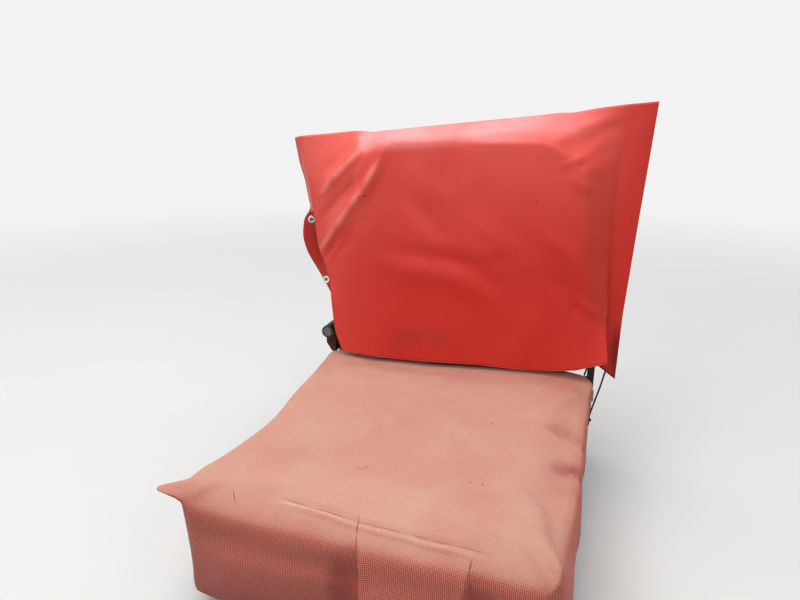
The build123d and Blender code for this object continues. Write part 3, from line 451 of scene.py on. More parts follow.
def coated_sheet():
    """Red coated sheet: bleached and lit with painted sky light towards the top, with painted highlights on
    its folds, a painted sky reflection along the top, painted shade on the flange's tail, soiled low down,
    with a faint scrim and two scuffs.
    """
    skin = Finish("coated_sheet", roughness=0.42, Specular_IOR_Level=0.28)
    across, up = skin.axis("X", skin.flat), skin.axis("Y", skin.flat)
    cloud = skin.noise(7, 4, 0.55, 0.4)
    ahead = skin.band(skin.facing("Y"), 0.2, -0.1)
    # Lighter towards the top and the left: sun fading together with painted sky light; the bands at the
    # flange and at the left strip hold it back there as painted shade
    bleach_and_light = skin.product(skin.band(up, -0.10, 0.21, 0.10, 0.75), skin.band(cloud, 0.3, 0.7, 0.75, 1.15))
    bleach_and_light = skin.calc("ADD", bleach_and_light, skin.band(across, -0.10, -0.32, 0.0, 0.28))
    # Painted highlights where the folds at the left catch the light
    for centre, reach, share in SHEET_LIT_PATCHES:
        bleach_and_light = skin.calc("ADD", bleach_and_light, skin.product(skin.flat_spot(centre, reach), share))
    bleach_and_light = skin.product(bleach_and_light, skin.band(across, 0.33, 0.20, 0.15, 1.0),
                          skin.band(across, -0.335, -0.305, 0.2, 1.0))
    colour = skin.mix(bleach_and_light, paint("sheet_red"), paint("sheet_faded_and_lit"))
    # Pale band along the top, between the pad's top edge and the seam: chalking with a painted sky reflection
    chalk_and_sheen = skin.product(skin.band(up, 0.140, 0.172), skin.band(across, 0.26, 0.05),
                         skin.band(across, -0.205, -0.165), skin.band(cloud, 0.25, 0.7, 0.35, 0.75))
    colour = skin.mix(chalk_and_sheen, colour, paint("sheet_chalky_and_sheen"))
    dirt = skin.band(skin.noise(28, 5, 0.65, at=skin.flat), 0.35, 0.75, 0.0, 0.5)
    soil = skin.product(skin.flat_spot((-0.08, -0.185), (0.10, 0.035)), dirt, ahead)
    soil = skin.calc("ADD", soil, skin.band(skin.noise(60, 5, 0.6), 0.66, 0.9, 0.0, 0.12))
    colour = skin.over(colour, (0.45, 0.22, 0.19), soil)
    # Painted highlights along the crests of two folds of the front sheet
    fold_highlight = skin.most(*(skin.trace(line, half_width) for line, half_width in SHEET_FOLD_HIGHLIGHTS))
    colour = skin.over(colour, (1.0, 0.66, 0.62), fold_highlight, ahead, 0.32)
    hem = skin.trace([(u, v + 0.8) for u, v, _ in FRONT_HEM], 1.1)
    colour = skin.over(colour, (0.95, 0.60, 0.56), hem, 0.6)
    # Painted shade on the flange's loose tail beside the slit, which faces away from the light
    tail = skin.flat_spot((0.260, -0.225), (0.018, 0.075), 0.35)
    colour = skin.over(colour, (0.42, 0.02, 0.01), tail, 0.75)
    lines = skin.most(*(skin.flat_spot(centre, reach, 0.0) for centre, reach in SHEET_LINES))
    colour = skin.over(colour, (0.30, 0.06, 0.05), lines, 0.20)
    scuffs = [skin.trace(line, half_width) for line, half_width in SHEET_SCUFFS]
    scuff = skin.most(*scuffs, skin.flat_spot((0.130, 0.048), (0.0018, 0.0018), 0.3))
    colour = skin.over(colour, (0.17, 0.07, 0.06), scuff, ahead)
    rough = skin.band(skin.noise(22, 5, 0.6), 0.3, 0.75, 0.36, 0.52)
    scrim = skin.product(skin.wave(across, SCRIM_TURN), skin.wave(up, SCRIM_TURN))
    normal = skin.bump(scrim, 0.00002, 0.5)
    normal = skin.bump(skin.noise(900, 3, 0.6), 0.00005, 0.35, normal)
    normal = skin.bump(skin.noise(16, 3, 0.5, 0.6), 0.0016, 0.35, normal)
    return skin.finish(colour, rough, normal)


def pleat_lines():
    """The pleats' lines in the cover's flat layout, in millimetres, along which painted shade lines go."""
    turn = SWOLLEN_HALF - FRONT_ROLL
    lines = []
    for corners, _ in PLEATS.values():
        line = []
        for height, across in corners:
            up = (height * MM - FOAM_TOP + FRONT_ROLL) / FRONT_ROLL
            arc = math.acos(min(up, 1.0)) if up > 0 else math.pi / 2 - up
            line.append((across, -(turn + FRONT_ROLL * arc) / MM))
        lines.append(line)
    return lines


def woven_cover():
    """Coated plain weave: bleached and dusty on top, redder on the skirt, with specks and a stain, and with
    painted light on the right side, painted shade at the back, beside the pleats, in the dents, in the
    creases and low on the skirt, and a painted shadow and highlight at the tuck.
    """
    cloth = Finish("woven_cover", roughness=0.78, Specular_IOR_Level=0.35, Sheen_Weight=0.12)
    across, along = cloth.axis("X", cloth.flat), cloth.axis("Y", cloth.flat)
    x, y, z = cloth.axis("X"), cloth.axis("Y"), cloth.axis("Z")
    turn = math.pi / sizes().weave_pitch
    warp = cloth.wave(cloth.calc("ADD", across, along), turn)
    weft = cloth.wave(cloth.calc("SUBTRACT", across, along), turn)
    yarn = cloth.band(cloth.product(warp, weft), -0.75, 0.85)
    slub = cloth.noise(260, 3, 0.6, at=cloth.flat)
    yarn = cloth.product(yarn, cloth.band(slub, 0.2, 0.8, 0.8, 1.1))
    top = cloth.product(cloth.band(cloth.facing("Z"), 0.25, 1.0),
                        cloth.band(cloth.noise(8, 4, 0.6, 0.5), 0.25, 0.75, 0.80, 1.12),
                        cloth.band(y, -0.232, -0.200, 0.70, 1.0))
    shade = cloth.mix(top, paint("weave_side"), paint("weave_top"))
    shade = cloth.over(shade, (0.86, 0.65, 0.575), cloth.band(x, -0.12, -0.22), top, 0.35)
    # Redder towards the right edge, and redder and brighter on the right side: painted light on the side that
    # the lamps leave in shade
    shade = cloth.over(shade, (0.78, 0.47, 0.41), cloth.band(x, 0.18, 0.234, 0.0, 0.8))
    right_side_lit = cloth.product(cloth.band(x, 0.215, 0.232), cloth.band(cloth.facing("X"), 0.3, 0.8))
    shade = cloth.over(shade, (0.98, 0.53, 0.44), right_side_lit)
    # Darker and redder towards the back: painted shade under the back cover's hem
    shade = cloth.over(shade, (0.77, 0.48, 0.41), cloth.band(y, 0.10, 0.24, 0.0, 0.7))
    # Patches of the cloth's own tone, and patches of painted shade
    for centre, reach, share, tone in COVER_TONES_AND_SHADE:
        shade = cloth.over(shade, tone, cloth.flat_spot(centre, reach, 0.25), share)
    gap = cloth.mix(top, paint("weave_gap"), linear((0.74, 0.51, 0.44)))
    colour = cloth.mix(yarn, gap, shade)
    dust = cloth.band(cloth.noise(14, 5, 0.7, 0.3), 0.40, 0.72, 0.0, 0.45)
    colour = cloth.over(colour, (0.76, 0.62, 0.52), top, dust)
    # Painted shadow of the back cover's hem along the cushion's back edge
    colour = cloth.over(colour, (0.36, 0.13, 0.11), cloth.trace(HEM_SHADOW_LINE, 11), 0.85)
    # Darker and redder towards the bottom of the skirt: painted shade low down
    colour = cloth.over(colour, (0.42, 0.13, 0.10), cloth.band(z, 0.12, 0.04, 0.0, 0.35))
    stain = cloth.product(cloth.trace(STAIN, 1.6), cloth.band(cloth.noise(260, 3, 0.7), 0.40, 0.55))
    specks = [cloth.flat_spot((px * MM, py * MM), (radius * MM, radius * MM), 0.3)
              for px, py, radius in SPECKS]
    colour = cloth.over(colour, (0.45, 0.17, 0.14), cloth.most(stain, *specks), 0.75)
    # Painted shadow behind the tuck's raised edge and painted highlight on its front
    tuck_shadow = cloth.trace([(px, py + 3.4) for px, py in TUCK], 1.3)
    colour = cloth.over(colour, (0.50, 0.36, 0.26), tuck_shadow, 0.6)
    tuck_highlight = cloth.trace([(px, py - 1.6) for px, py in TUCK[:-1]], 1.0)
    colour = cloth.over(colour, (0.97, 0.84, 0.76), tuck_highlight, 0.55)
    # Painted shade along the ear's crease and along the pleats' lines
    crease_shade = cloth.most(cloth.trace(EAR_CREASE_SHADE, 1.0), *(cloth.trace(line, 1.3) for line in pleat_lines()))
    colour = cloth.over(colour, (0.36, 0.14, 0.10), crease_shade, 0.7)
    normal = cloth.bump(yarn, 0.00032, cloth.band(top, 0.2, 1.0, 0.85, 0.45))
    normal = cloth.bump(cloth.noise(55, 4, 0.6), 0.0008, 0.3, normal)
    return cloth.finish(colour, None, normal)


def vinyl():
    """Black grained vinyl of the back pad."""
    skin = Finish("pad_vinyl", roughness=0.45)
    grain = skin.add("TexVoronoi", {"feature": "DISTANCE_TO_EDGE"}, Vector=skin.place, Scale=420.0)
    dull = skin.noise(12, 4, 0.6)
    colour = skin.mix(skin.band(dull, 0.35, 0.7), paint("vinyl"), linear((0.14, 0.14, 0.145)))
    normal = skin.bump(grain.outputs["Distance"], 0.0004, 0.5)
    normal = skin.bump(skin.noise(20, 3), 0.002, 0.25, normal)
    return skin.finish(colour, skin.band(dull, 0.3, 0.7, 0.4, 0.6), normal)


def worn_paint(name, roughness, rust_share):
    """The frame's paint, with dust and with rust that starts in small spots."""
    skin = Finish(name, roughness=roughness)
    dust = skin.band(skin.noise(18, 5, 0.65), 0.42, 0.72, 0.0, 0.35)
    tone = skin.over(paint("frame_black"), (0.33, 0.31, 0.29), dust)
    spots = skin.product(skin.noise(48, 6, 0.7, 0.3), skin.noise(9, 3, 0.5))
    rusty = skin.band(spots, 0.40 - 0.10 * rust_share, 0.46 - 0.06 * rust_share)
    tone = skin.mix(rusty, tone, paint("rust"))
    rough = skin.band(rusty, 0.0, 1.0, roughness, 0.88)
    normal = skin.bump(skin.noise(650, 3, 0.6), 0.00012, 0.35)
    normal = skin.bump(rusty, 0.0003, 0.5, normal)
    return skin.finish(tone, rough, normal)


def rusted():
    """Bare plate that has rusted all over."""
    skin = Finish("rusted_plate", roughness=0.9)
    coarse, fine = skin.noise(40, 6, 0.7, 0.4), skin.noise(260, 5, 0.7)
    tone = skin.over(paint("rust"), (0.25, 0.11, 0.07), skin.band(coarse, 0.3, 0.7))
    tone = skin.over(tone, (0.56, 0.31, 0.17), skin.band(fine, 0.52, 0.75, 0.0, 0.7))
    normal = skin.bump(fine, 0.0005, 0.7)
    return skin.finish(tone, None, skin.bump(coarse, 0.0012, 0.5, normal))


def plated(name, colour, roughness=0.38):
    """Zinc-plated or bright steel with cloudy spangle and dull fingerprints."""
    skin = Finish(name, roughness=roughness, metallic=1.0)
    cloud = skin.noise(35, 5, 0.65, 0.5)
    tone = skin.over(colour, (0.44, 0.43, 0.40), skin.band(cloud, 0.3, 0.75))
    white = skin.band(skin.noise(16, 6, 0.7), 0.60, 0.78, 0.0, 0.5)
    tone = skin.over(tone, (0.74, 0.74, 0.71), white)
    rough = skin.band(cloud, 0.25, 0.8, roughness - 0.08, roughness + 0.18)
    return skin.finish(tone, rough, skin.bump(skin.noise(900, 2, 0.6), 0.00008, 0.4))


def moulded(name, colour, roughness):
    """Moulded plastic or rubber with a fine spark-eroded grain, greyed by weather."""
    skin = Finish(name, roughness=roughness)
    chalk = skin.band(skin.noise(30, 5, 0.6), 0.38, 0.75, 0.0, 0.45)
    tone = skin.over(colour, (0.28, 0.28, 0.28), chalk)
    return skin.finish(tone, None, skin.bump(skin.noise(700, 2, 0.5), 0.00012, 0.5))


def plug_grey():
    """Grey plug: its face is streaked by dirt and has a darker ring at its rim."""
    skin = Finish("plug_grey", roughness=0.55)
    streak = skin.noise(90, 5, 0.65, 0.2, stretch=(1.0, 1.0, 3.5))
    tone = skin.mix(skin.band(streak, 0.35, 0.7), linear((0.33, 0.35, 0.33)), linear((0.50, 0.51, 0.49)))
    low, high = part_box("socket_plug")
    middle = (low + high) / 2
    ring = skin.spot((middle.x, low.y, middle.z), 0.78, 0.96, (0.0102, 0.05, 0.0102))
    tone = skin.mix(ring, linear((0.10, 0.10, 0.10)), tone)
    return skin.finish(tone, None, skin.bump(streak, 0.0004, 0.4))


def plywood():
    """Weathered birch plywood with its grain."""
    wood = Finish("plywood", roughness=0.7)
    grain = wood.noise(30, 5, 0.6, 1.2, stretch=(0.6, 3.0, 6.0))
    tone = wood.over(paint("plywood"), (0.47, 0.34, 0.21), wood.band(grain, 0.3, 0.7))
    tone = wood.over(tone, (0.33, 0.27, 0.21), wood.band(wood.noise(12, 4), 0.45, 0.8, 0.0, 0.5))
    return wood.finish(tone, None, wood.bump(grain, 0.0004, 0.4))


def braided():
    """Black braided cord: two families of strands that cross on its own length."""
    skin = Finish("braided_cord", roughness=0.62, Sheen_Weight=0.1)
    along = skin.product(skin.axis("X", skin.flat), 300)
    round_it = skin.product(skin.axis("Y", skin.flat), 6 * math.pi)
    strands = [skin.calc("SINE", skin.calc(way, along, round_it)) for way in ("ADD", "SUBTRACT")]
    strand = skin.most(*strands)
    tone = skin.mix(skin.band(strand, -0.2, 1.0), linear((0.012, 0.012, 0.013)), paint("cord"))
    return skin.finish(tone, None, skin.bump(strand, 0.0002, 0.5))


# Modelling helpers

def only(piece):
    """Selects one piece and makes it the active one."""
    bpy.ops.object.select_all(action="DESELECT")
    piece.select_set(True)
    bpy.context.view_layer.objects.active = piece
    return piece


def added(name):
    """The primitive that has just been added, under its own name, with its place in its mesh."""
    piece = bpy.context.active_object
    piece.name = piece.data.name = name
    bpy.ops.object.transform_apply(location=True, rotation=True, scale=True)
    return piece


def placed(name, data):
    """A new object in the scene for some data."""
    piece = bpy.data.objects.new(name, data)
    bpy.context.scene.collection.objects.link(piece)
    return piece


def piece_of(name, points, faces, material):
    """A smooth mesh piece from rows of points and faces."""
    mesh = bpy.data.meshes.new(name)
    mesh.from_pydata([tuple(p) for p in points], [], faces)
    mesh.materials.append(material)
    mesh.shade_smooth()
    return placed(name, mesh)


def modified(piece, kind, **settings):
    """Adds a modifier and applies it."""
    only(piece)
    modifier = piece.modifiers.new(kind.lower(), kind)
    for key, value in settings.items():
        setattr(modifier, key, value)
    bpy.ops.object.modifier_apply(modifier=modifier.name)
    return piece


def joined(name, pieces):
    """Several pieces as one."""
    bpy.ops.object.select_all(action="DESELECT")
    for piece in pieces:
        piece.select_set(True)
    bpy.context.view_layer.objects.active = pieces[0]
    bpy.ops.object.join()
    whole = bpy.context.active_object
    whole.name = whole.data.name = name
    return whole


def coat(material, *nodes):
    """Gives CAD nodes or pieces their finish."""
    for node in nodes:
        piece = frame["nodes"][node] if isinstance(node, str) else node
        piece.data.materials.clear()
        piece.data.materials.append(material)


def smoothed(piece, degrees=32):
    """Shades a piece smooth, apart from edges sharper than an angle."""
    only(piece)
    bpy.ops.object.shade_smooth_by_angle(angle=math.radians(degrees))
    return piece


def points_of(piece):
    """The places of a mesh piece's points, as rows of an array."""
    flat = np.empty(len(piece.data.vertices) * 3)
    piece.data.vertices.foreach_get("co", flat)
    return flat.reshape(-1, 3)


def move_points(piece, points):
    """Puts a mesh piece's points where the rows say."""
    piece.data.vertices.foreach_set("co", points.astype(np.float32).ravel())
    piece.data.update()


@contextlib.contextmanager
def edited(piece):
    """Opens a piece's mesh for bmesh operators and writes it back."""
    mesh = bmesh.new()
    mesh.from_mesh(piece.data)
    yield mesh
    mesh.to_mesh(piece.data)
    mesh.free()


def loop_points(mesh):
    """The number of the point at every corner of every face."""
    corners = np.empty(len(mesh.loops), int)
    mesh.loops.foreach_get("vertex_index", corners)
    return corners


def bell(value, middle, width):
    """Smooth hump of height 1 round a middle."""
    return np.exp(-((value - middle) / width) ** 2)


def step(value, low, high):
    """Smooth rise from 0 at low to 1 at high, which may be given in either order."""
    share = np.clip((value - low) / (high - low), 0.0, 1.0)
    return share * share * (3 - 2 * share)


# Back cover

def softened_line(values, rounds):
    """Rounds the corners of a line, given as numbers or points, and keeps its ends."""
    line = values.copy()
    for _ in range(rounds):
        line[1:-1] = (line[:-2] + 2 * line[1:-1] + line[2:]) / 4
    return line


def even_line(corners, count, rounds=3):
    """Evenly spaced points on a softened line through some corners."""
    table = np.array(corners, float)
    run = np.concatenate([[0.0], np.cumsum(np.linalg.norm(np.diff(table[:, :2], axis=0), axis=1))])
    even = np.linspace(0.0, run[-1], count)
    return softened_line(np.stack([np.interp(even, run, table[:, k]) for k in range(3)], axis=1), rounds)


def patch(left, right, bottom, top):
    """Grid of points between four edge lines; rows go up and columns go across."""
    b = np.linspace(0.0, 1.0, len(left))[:, None, None]
    a = np.linspace(0.0, 1.0, len(bottom))[None, :, None]
    sides = (1 - a) * left[:, None] + a * right[:, None]
    ends = (1 - b) * bottom[None] + b * top[None]
    corners = ((1 - a) * (1 - b) * bottom[0] + a * (1 - b) * bottom[-1]
               + (1 - a) * b * top[0] + a * b * top[-1])
    return sides + ends - corners


def on_backrest(u, v):
    """Place across and up the leaning backrest of a point in the cover's frame."""
    cos, sin = math.cos(COVER_TWIST), math.sin(COVER_TWIST)
    return u * cos - v * sin, COVER_MIDDLE / MM + u * sin + v * cos


def inside_pad(x, s, corner=PAD_CORNER):
    """How far inside the pad's rounded outline a point is."""
    middle, half = (PAD_LOW + PAD_HIGH) / 2, (PAD_HIGH - PAD_LOW) / 2
    dx = np.abs(x) - (PAD_HALF_WIDTH - corner)
    ds = np.abs(s - middle) - (half - corner)
    outside = np.hypot(np.maximum(dx, 0), np.maximum(ds, 0))
    return corner - outside - np.minimum(np.maximum(dx, ds), 0)


def front_limit(u, v):
    """Furthest back that the front sheet can lie, because of the pad."""
    inside = inside_pad(*on_backrest(u, v))
    edge = np.clip(SHEET_EDGE - inside, 0, SHEET_EDGE)
    face = PAD_FRONT_N + SHEET_EDGE - np.sqrt(SHEET_EDGE ** 2 - edge ** 2)
    return np.where(inside > 0, face - SHEET_CLEAR, NOTHING_NEAR)


def back_limit(u, v):
    """Furthest forward that the back sheet can lie, because of the legs, tubes, board and pad."""
    x, s = on_backrest(u, v)
    legs = (np.abs(x) > LEG_INNER - 2) & (np.abs(x) < LEG_OUTER + 2)
    limit = np.where(legs & (s < LEG_REACH), LEG_BACK_N, -NOTHING_NEAR)
    saddles = np.abs(np.abs(x) - SADDLE_X) < 14
    tube = np.where(saddles, SADDLE_BACK_N, LEG_BACK_N - 1.5)
    limit = np.where((np.abs(x) < LEG_INNER) & (s < TUBE_TOP_S), tube, limit)
    board = inside_pad(x, s, BOARD_CORNER) > 2
    return np.where(board, np.maximum(limit, BOARD_BACK_N), limit) + SHEET_CLEAR


def relaxed(depth, limit, pull):
    """Depth of a taut sheet held at its outer rows and columns; pull is -1 for a sheet in front."""
    tight = depth.copy()
    for _ in range(RELAX_ROUNDS):
        inner = (tight[2:, 1:-1] + tight[:-2, 1:-1] + tight[1:-1, 2:] + tight[1:-1, :-2]) / 4
        bound = limit[1:-1, 1:-1]
        tight[1:-1, 1:-1] = np.minimum(inner, bound) if pull < 0 else np.maximum(inner, bound)
    return tight


def softened(depth, rounds):
    """Rounds the sharp lines that a stiff sheet wouldn't show."""
    soft = depth.copy()
    for _ in range(rounds):
        soft[1:-1, 1:-1] = (4 * soft[1:-1, 1:-1] + soft[2:, 1:-1] + soft[:-2, 1:-1]
                            + soft[1:-1, 2:] + soft[1:-1, :-2]) / 8
    return soft


def fold(u, v, line, half_width, height):
    """Ridge of a fold along a broken line, fading at both of its ends."""
    corners = np.array(line, float)
    runs = np.linalg.norm(np.diff(corners, axis=0), axis=1)
    whole, before = runs.sum(), 0.0
    nearest = np.full(u.shape, np.inf)
    place = np.zeros(u.shape)
    for start, end, run in zip(corners, corners[1:], runs):
        du, dv = (end - start) / run
        along = np.clip((u - start[0]) * du + (v - start[1]) * dv, 0, run)
        far = np.hypot(u - start[0] - along * du, v - start[1] - along * dv)
        place = np.where(far < nearest, before + along, place)
        nearest = np.minimum(nearest, far)
        before += run
    fade = np.minimum(place, whole - place) / (0.30 * whole)
    return height * bell(nearest, 0, half_width) * (0.25 + 0.75 * step(fade, 0.0, 1.0))


def ripple(u, v):
    """Slight unevenness of a sheet that has hung outside for years."""
    return sum(height * np.sin(a * u + b * v + phase) for a, b, phase, height in RIPPLES)


def sheet_mesh(name, grid, material, left_open=lambda row, column: False):
    """One sheet of the cover from a grid of (u, v, n), with the cells that are left open."""
    rows, columns = grid.shape[:2]
    index = np.arange(rows * columns).reshape(rows, columns)
    faces = [(int(index[j, i]), int(index[j, i + 1]), int(index[j + 1, i + 1]), int(index[j + 1, i]))
             for j in range(rows - 1) for i in range(columns - 1) if not left_open(j, i)]
    local = grid.reshape(-1, 3)[:, [0, 2, 1]] * MM
    piece = piece_of(name, local, faces, material)
    flat = piece.data.uv_layers.new(name="flat_cut")
    uv = local[:, [0, 2]][loop_points(piece.data)]
    flat.data.foreach_set("uv", uv.astype(np.float32).ravel())
    piece.data.transform(COVER_FRAME)
    with edited(piece) as mesh:
        bmesh.ops.remove_doubles(mesh, verts=mesh.verts, dist=1e-5)
        bmesh.ops.delete(mesh, geom=[v for v in mesh.verts if not v.link_faces], context="VERTS")
    return piece


def front_sheet(material):
    """Front sheet from hem to seam, with the slit, the flange and the strip folded back on the left."""
    rows, columns, flange_columns, strip_columns = SHEET_ROWS, 138, 20, 7
    slit_row = round((rows - 1) * math.dist(FRONT_SLIT[0][:2], FRONT_SLIT[1][:2]) / SLIT_AND_CREASE)
    left = even_line(FRONT_LEFT, rows)
    right = np.concatenate([even_line(FRONT_SLIT, slit_row + 1),
                            even_line(FRONT_CREASE, rows - slit_row)[1:]])
    right[1:-1, 2] = softened_line(right[:, 2], 4)[1:-1]
    grid = patch(left, right, even_line(FRONT_HEM, columns), even_line(FRONT_TOP, columns, 1))
    u, v = grid[..., 0], grid[..., 1]
    crease_u, crease_n = right[:, 0][:, None], right[:, 2][:, None]
    above_slit = np.clip(v - FRONT_SLIT[1][1], 0, 400)
    near_crease = step(u, crease_u - (32 + 0.12 * above_slit), crease_u + 6)
    held = PAD_FRONT_N + (crease_n - PAD_FRONT_N) * near_crease
    held = np.where((u > 150) & (v < 100), held, NOTHING_NEAR)
    limit = np.minimum(front_limit(u, v), held)
    belly = BELLY * bell(v, -35, 95) * np.exp(-((u - 5) / 170) ** 4)
    limit = np.where(limit < 0, limit - belly, limit)
    depth = softened(relaxed(grid[..., 2], limit, -1), 14)
    edge_in = np.minimum(step(np.arange(rows) / (rows - 1), 1.0, 0.93)[:, None],
                         step(np.arange(columns) / (columns - 1), -0.02, 0.05)[None, :])
    for line, width, height in FRONT_FOLDS:
        depth -= fold(u, v, line, width, height) * np.maximum(edge_in, 0.25)
    depth += ripple(u, v) * edge_in
    grid[..., 2] = np.minimum(depth, front_limit(u, v) + 0.2)
    flange = crease_flange(grid[slit_row:, -1], slit_row, flange_columns)
    strip_row = int(np.argmax(left[:, 1] > STRIP_FROM))
    strip_out = even_line(STRIP_EDGE, rows - strip_row)
    back = np.linspace(1, 0, strip_columns + 1)[None, :, None]
    strip = (1 - back) * grid[strip_row:, 0][:, None] + back * strip_out[:, None]
    panels = [sheet_mesh(name, points, material)
              for name, points in (("front_panel", grid), ("flange_panel", flange), ("left_strip", strip))]
    return welded(joined("cover_front", panels))


def crease_flange(crease, slit_row, columns):
    """Grid of the flange that goes on from the crease, and of its loose tail beside the slit."""
    inner = np.concatenate([even_line(FLANGE_TAIL_IN, slit_row + 1)[:-1], crease])
    outer = np.concatenate([even_line(FLANGE_TAIL_OUT, slit_row + 1)[:-1],
                            even_line(FLANGE_OUT, len(crease))])
    share = np.linspace(0, 1, columns + 1)[None, :]
    flange = (1 - share[..., None]) * inner[:, None] + share[..., None] * outer[:, None]
    inner_n, outer_n = inner[:, 2][:, None], outer[:, 2][:, None]
    flange[..., 2] = outer_n + (inner_n - outer_n) * np.exp(-share / 0.22) * (1 - share)
    flange[..., 2] += 0.8 * ripple(flange[..., 0], flange[..., 1]) * np.sin(np.pi * share)
    return flange


def welded(piece):
    """Merges the seams between the panels of one sheet and gives it its thickness."""
    with edited(piece) as mesh:
        bmesh.ops.remove_doubles(mesh, verts=mesh.verts, dist=WELD)
        bmesh.ops.recalc_face_normals(mesh, faces=mesh.faces)
    modified(piece, "SOLIDIFY", thickness=sizes().sheet_thickness, offset=0.0)
    piece.data.shade_smooth()
    return piece


def back_sheet(material):
    """Back sheet with the bulging left flap, the side wall round the right leg and the flange."""
    rows, columns, side_columns, flange_columns = SHEET_ROWS, 140, 10, 16
    left = even_line(BACK_LEFT, rows, 8)
    corner = even_line(BACK_CORNER, rows, 6)
    grid = patch(left, corner, even_line(BACK_HEM, columns), even_line(BACK_TOP, columns, 2))
    u, v = grid[..., 0], grid[..., 1]
    depth = softened(relaxed(grid[..., 2], back_limit(u, v), 1), 10)
    depth += 16 * bell(u, -292, 24) * bell(v, -12, 52)
    depth += 6 * bell(v, -60, 110) * np.exp(-(u / 150) ** 4)
    below_seam = step(np.arange(rows) / (rows - 1), 1.0, 0.9)[:, None]
    depth += 1.3 * ripple(u * 1.1 + 40, v * 0.9) * below_seam
    for line, width, height in BACK_FOLDS:
        depth += fold(u, v, line, width, height)
    grid[..., 2] = np.maximum(depth, back_limit(u, v) - 0.2)
    turn = even_line(BACK_FOLD, rows, 6)
    outer = even_line(BACK_FLANGE_OUT, rows, 6)
    share = np.linspace(0, 1, side_columns + 1)[None, 1:-1, None]
    side = (1 - share) * grid[:, -1][:, None] + share * turn[:, None]
    share = np.linspace(0, 1, flange_columns + 1)[None, :, None]
    flange = (1 - share) * turn[:, None] + share * outer[:, None]
    whole = np.concatenate([grid, side, flange], axis=1)
    start = columns - 3
    for _ in range(5):
        middle = whole[:, start + 1:-1]
        whole[:, start + 1:-1] = (whole[:, start:-2] + 2 * middle + whole[:, start + 2:]) / 4
    notch = int(np.argmax(corner[:, 1] > CORD_NOTCH_V))
    wall = range(columns - 2, columns + side_columns - 2)
    return welded(sheet_mesh("cover_back", whole, material,
                             lambda row, column: row < notch and column in wall))


def eyelet(name, place, facing, material):
    """Pressed metal ring in the flap."""
    bpy.ops.object.select_all(action="DESELECT")
    bpy.ops.mesh.primitive_torus_add(major_segments=36, minor_segments=12, major_radius=EYELET_RADIUS,
                                     minor_radius=EYELET_WIRE)
    ring = bpy.context.active_object
    ring.name = ring.data.name = name
    ring.data.transform(Matrix.Diagonal((1, 1, 0.62, 1)))
    turn = Vector(facing).normalized().to_track_quat("Z", "Y").to_matrix().to_4x4()
    ring.data.transform(Matrix.Translation(place) @ turn)
    ring.data.materials.append(material)
    ring.data.shade_smooth()
    return ring


def make_back_cover():
    """Loose cover over the backrest: its front sheet, its back sheet and two eyelets."""
    material = coated_sheet()
    front, back = front_sheet(material), back_sheet(material)
    metal = plated("eyelet_zinc", linear((0.93, 0.92, 0.88)), 0.45)
    for name, (u, v, n) in EYELETS.items():
        _, place, normal, _ = back.closest_point_on_mesh(COVER_FRAME @ Vector((u * MM, n * MM, v * MM)))
        ring = eyelet(name, place, normal, metal)
        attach(ring, "backrest")
    for sheet in (front, back):
        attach(sheet, "backrest")
    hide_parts("back_cover")


# Seat cover

def cushion_block():
    """Foam block with tight rims and a broad roll along its front, a little smaller than it swells to."""
    foot = CUSHION_FOOT
    size = (BLOCK_WIDTH, BLOCK_DEPTH, FOAM_TOP - foot)
    bpy.ops.object.select_all(action="DESELECT")
    bpy.ops.mesh.primitive_cube_add(size=1.0, location=(0, 0, foot + size[2] / 2), scale=size)
    block = added("seat_cushion")
    with edited(block) as mesh:
        upright = [e for e in mesh.edges if abs(e.verts[0].co.z - e.verts[1].co.z) > 0.05]
        bmesh.ops.bevel(mesh, geom=upright, offset=BLOCK_CORNER, segments=5, profile=0.5, affect="EDGES")
        rim = [e for e in mesh.edges if min(v.co.z for v in e.verts) > foot + size[2] - 1e-4
               and len(e.link_faces) == 2 and any(abs(f.normal.z) < 0.5 for f in e.link_faces)]
        bmesh.ops.bevel(mesh, geom=rim, offset=SIDE_RIM, segments=3, profile=0.5, affect="EDGES")
    modified(block, "REMESH", mode="VOXEL", voxel_size=FOAM_VOXEL, use_smooth_shade=True)
    roll_front(block)
    return block


def roll_front(block):
    """Turns the front of the block's top over on the radius of the roll."""
    points = points_of(block)
    behind = FRONT_ROLL - BLOCK_DEPTH / 2 - points[:, 1]
    above = points[:, 2] - FOAM_TOP + FRONT_ROLL
    far = np.hypot(behind, above)
    outside = (behind > 0) & (above > 0) & (far > FRONT_ROLL)
    share = np.where(outside, FRONT_ROLL / np.maximum(far, 1e-9), 1.0)
    points[:, 1] += behind * (1 - share)
    points[:, 2] -= above * (1 - share)
    move_points(block, points)


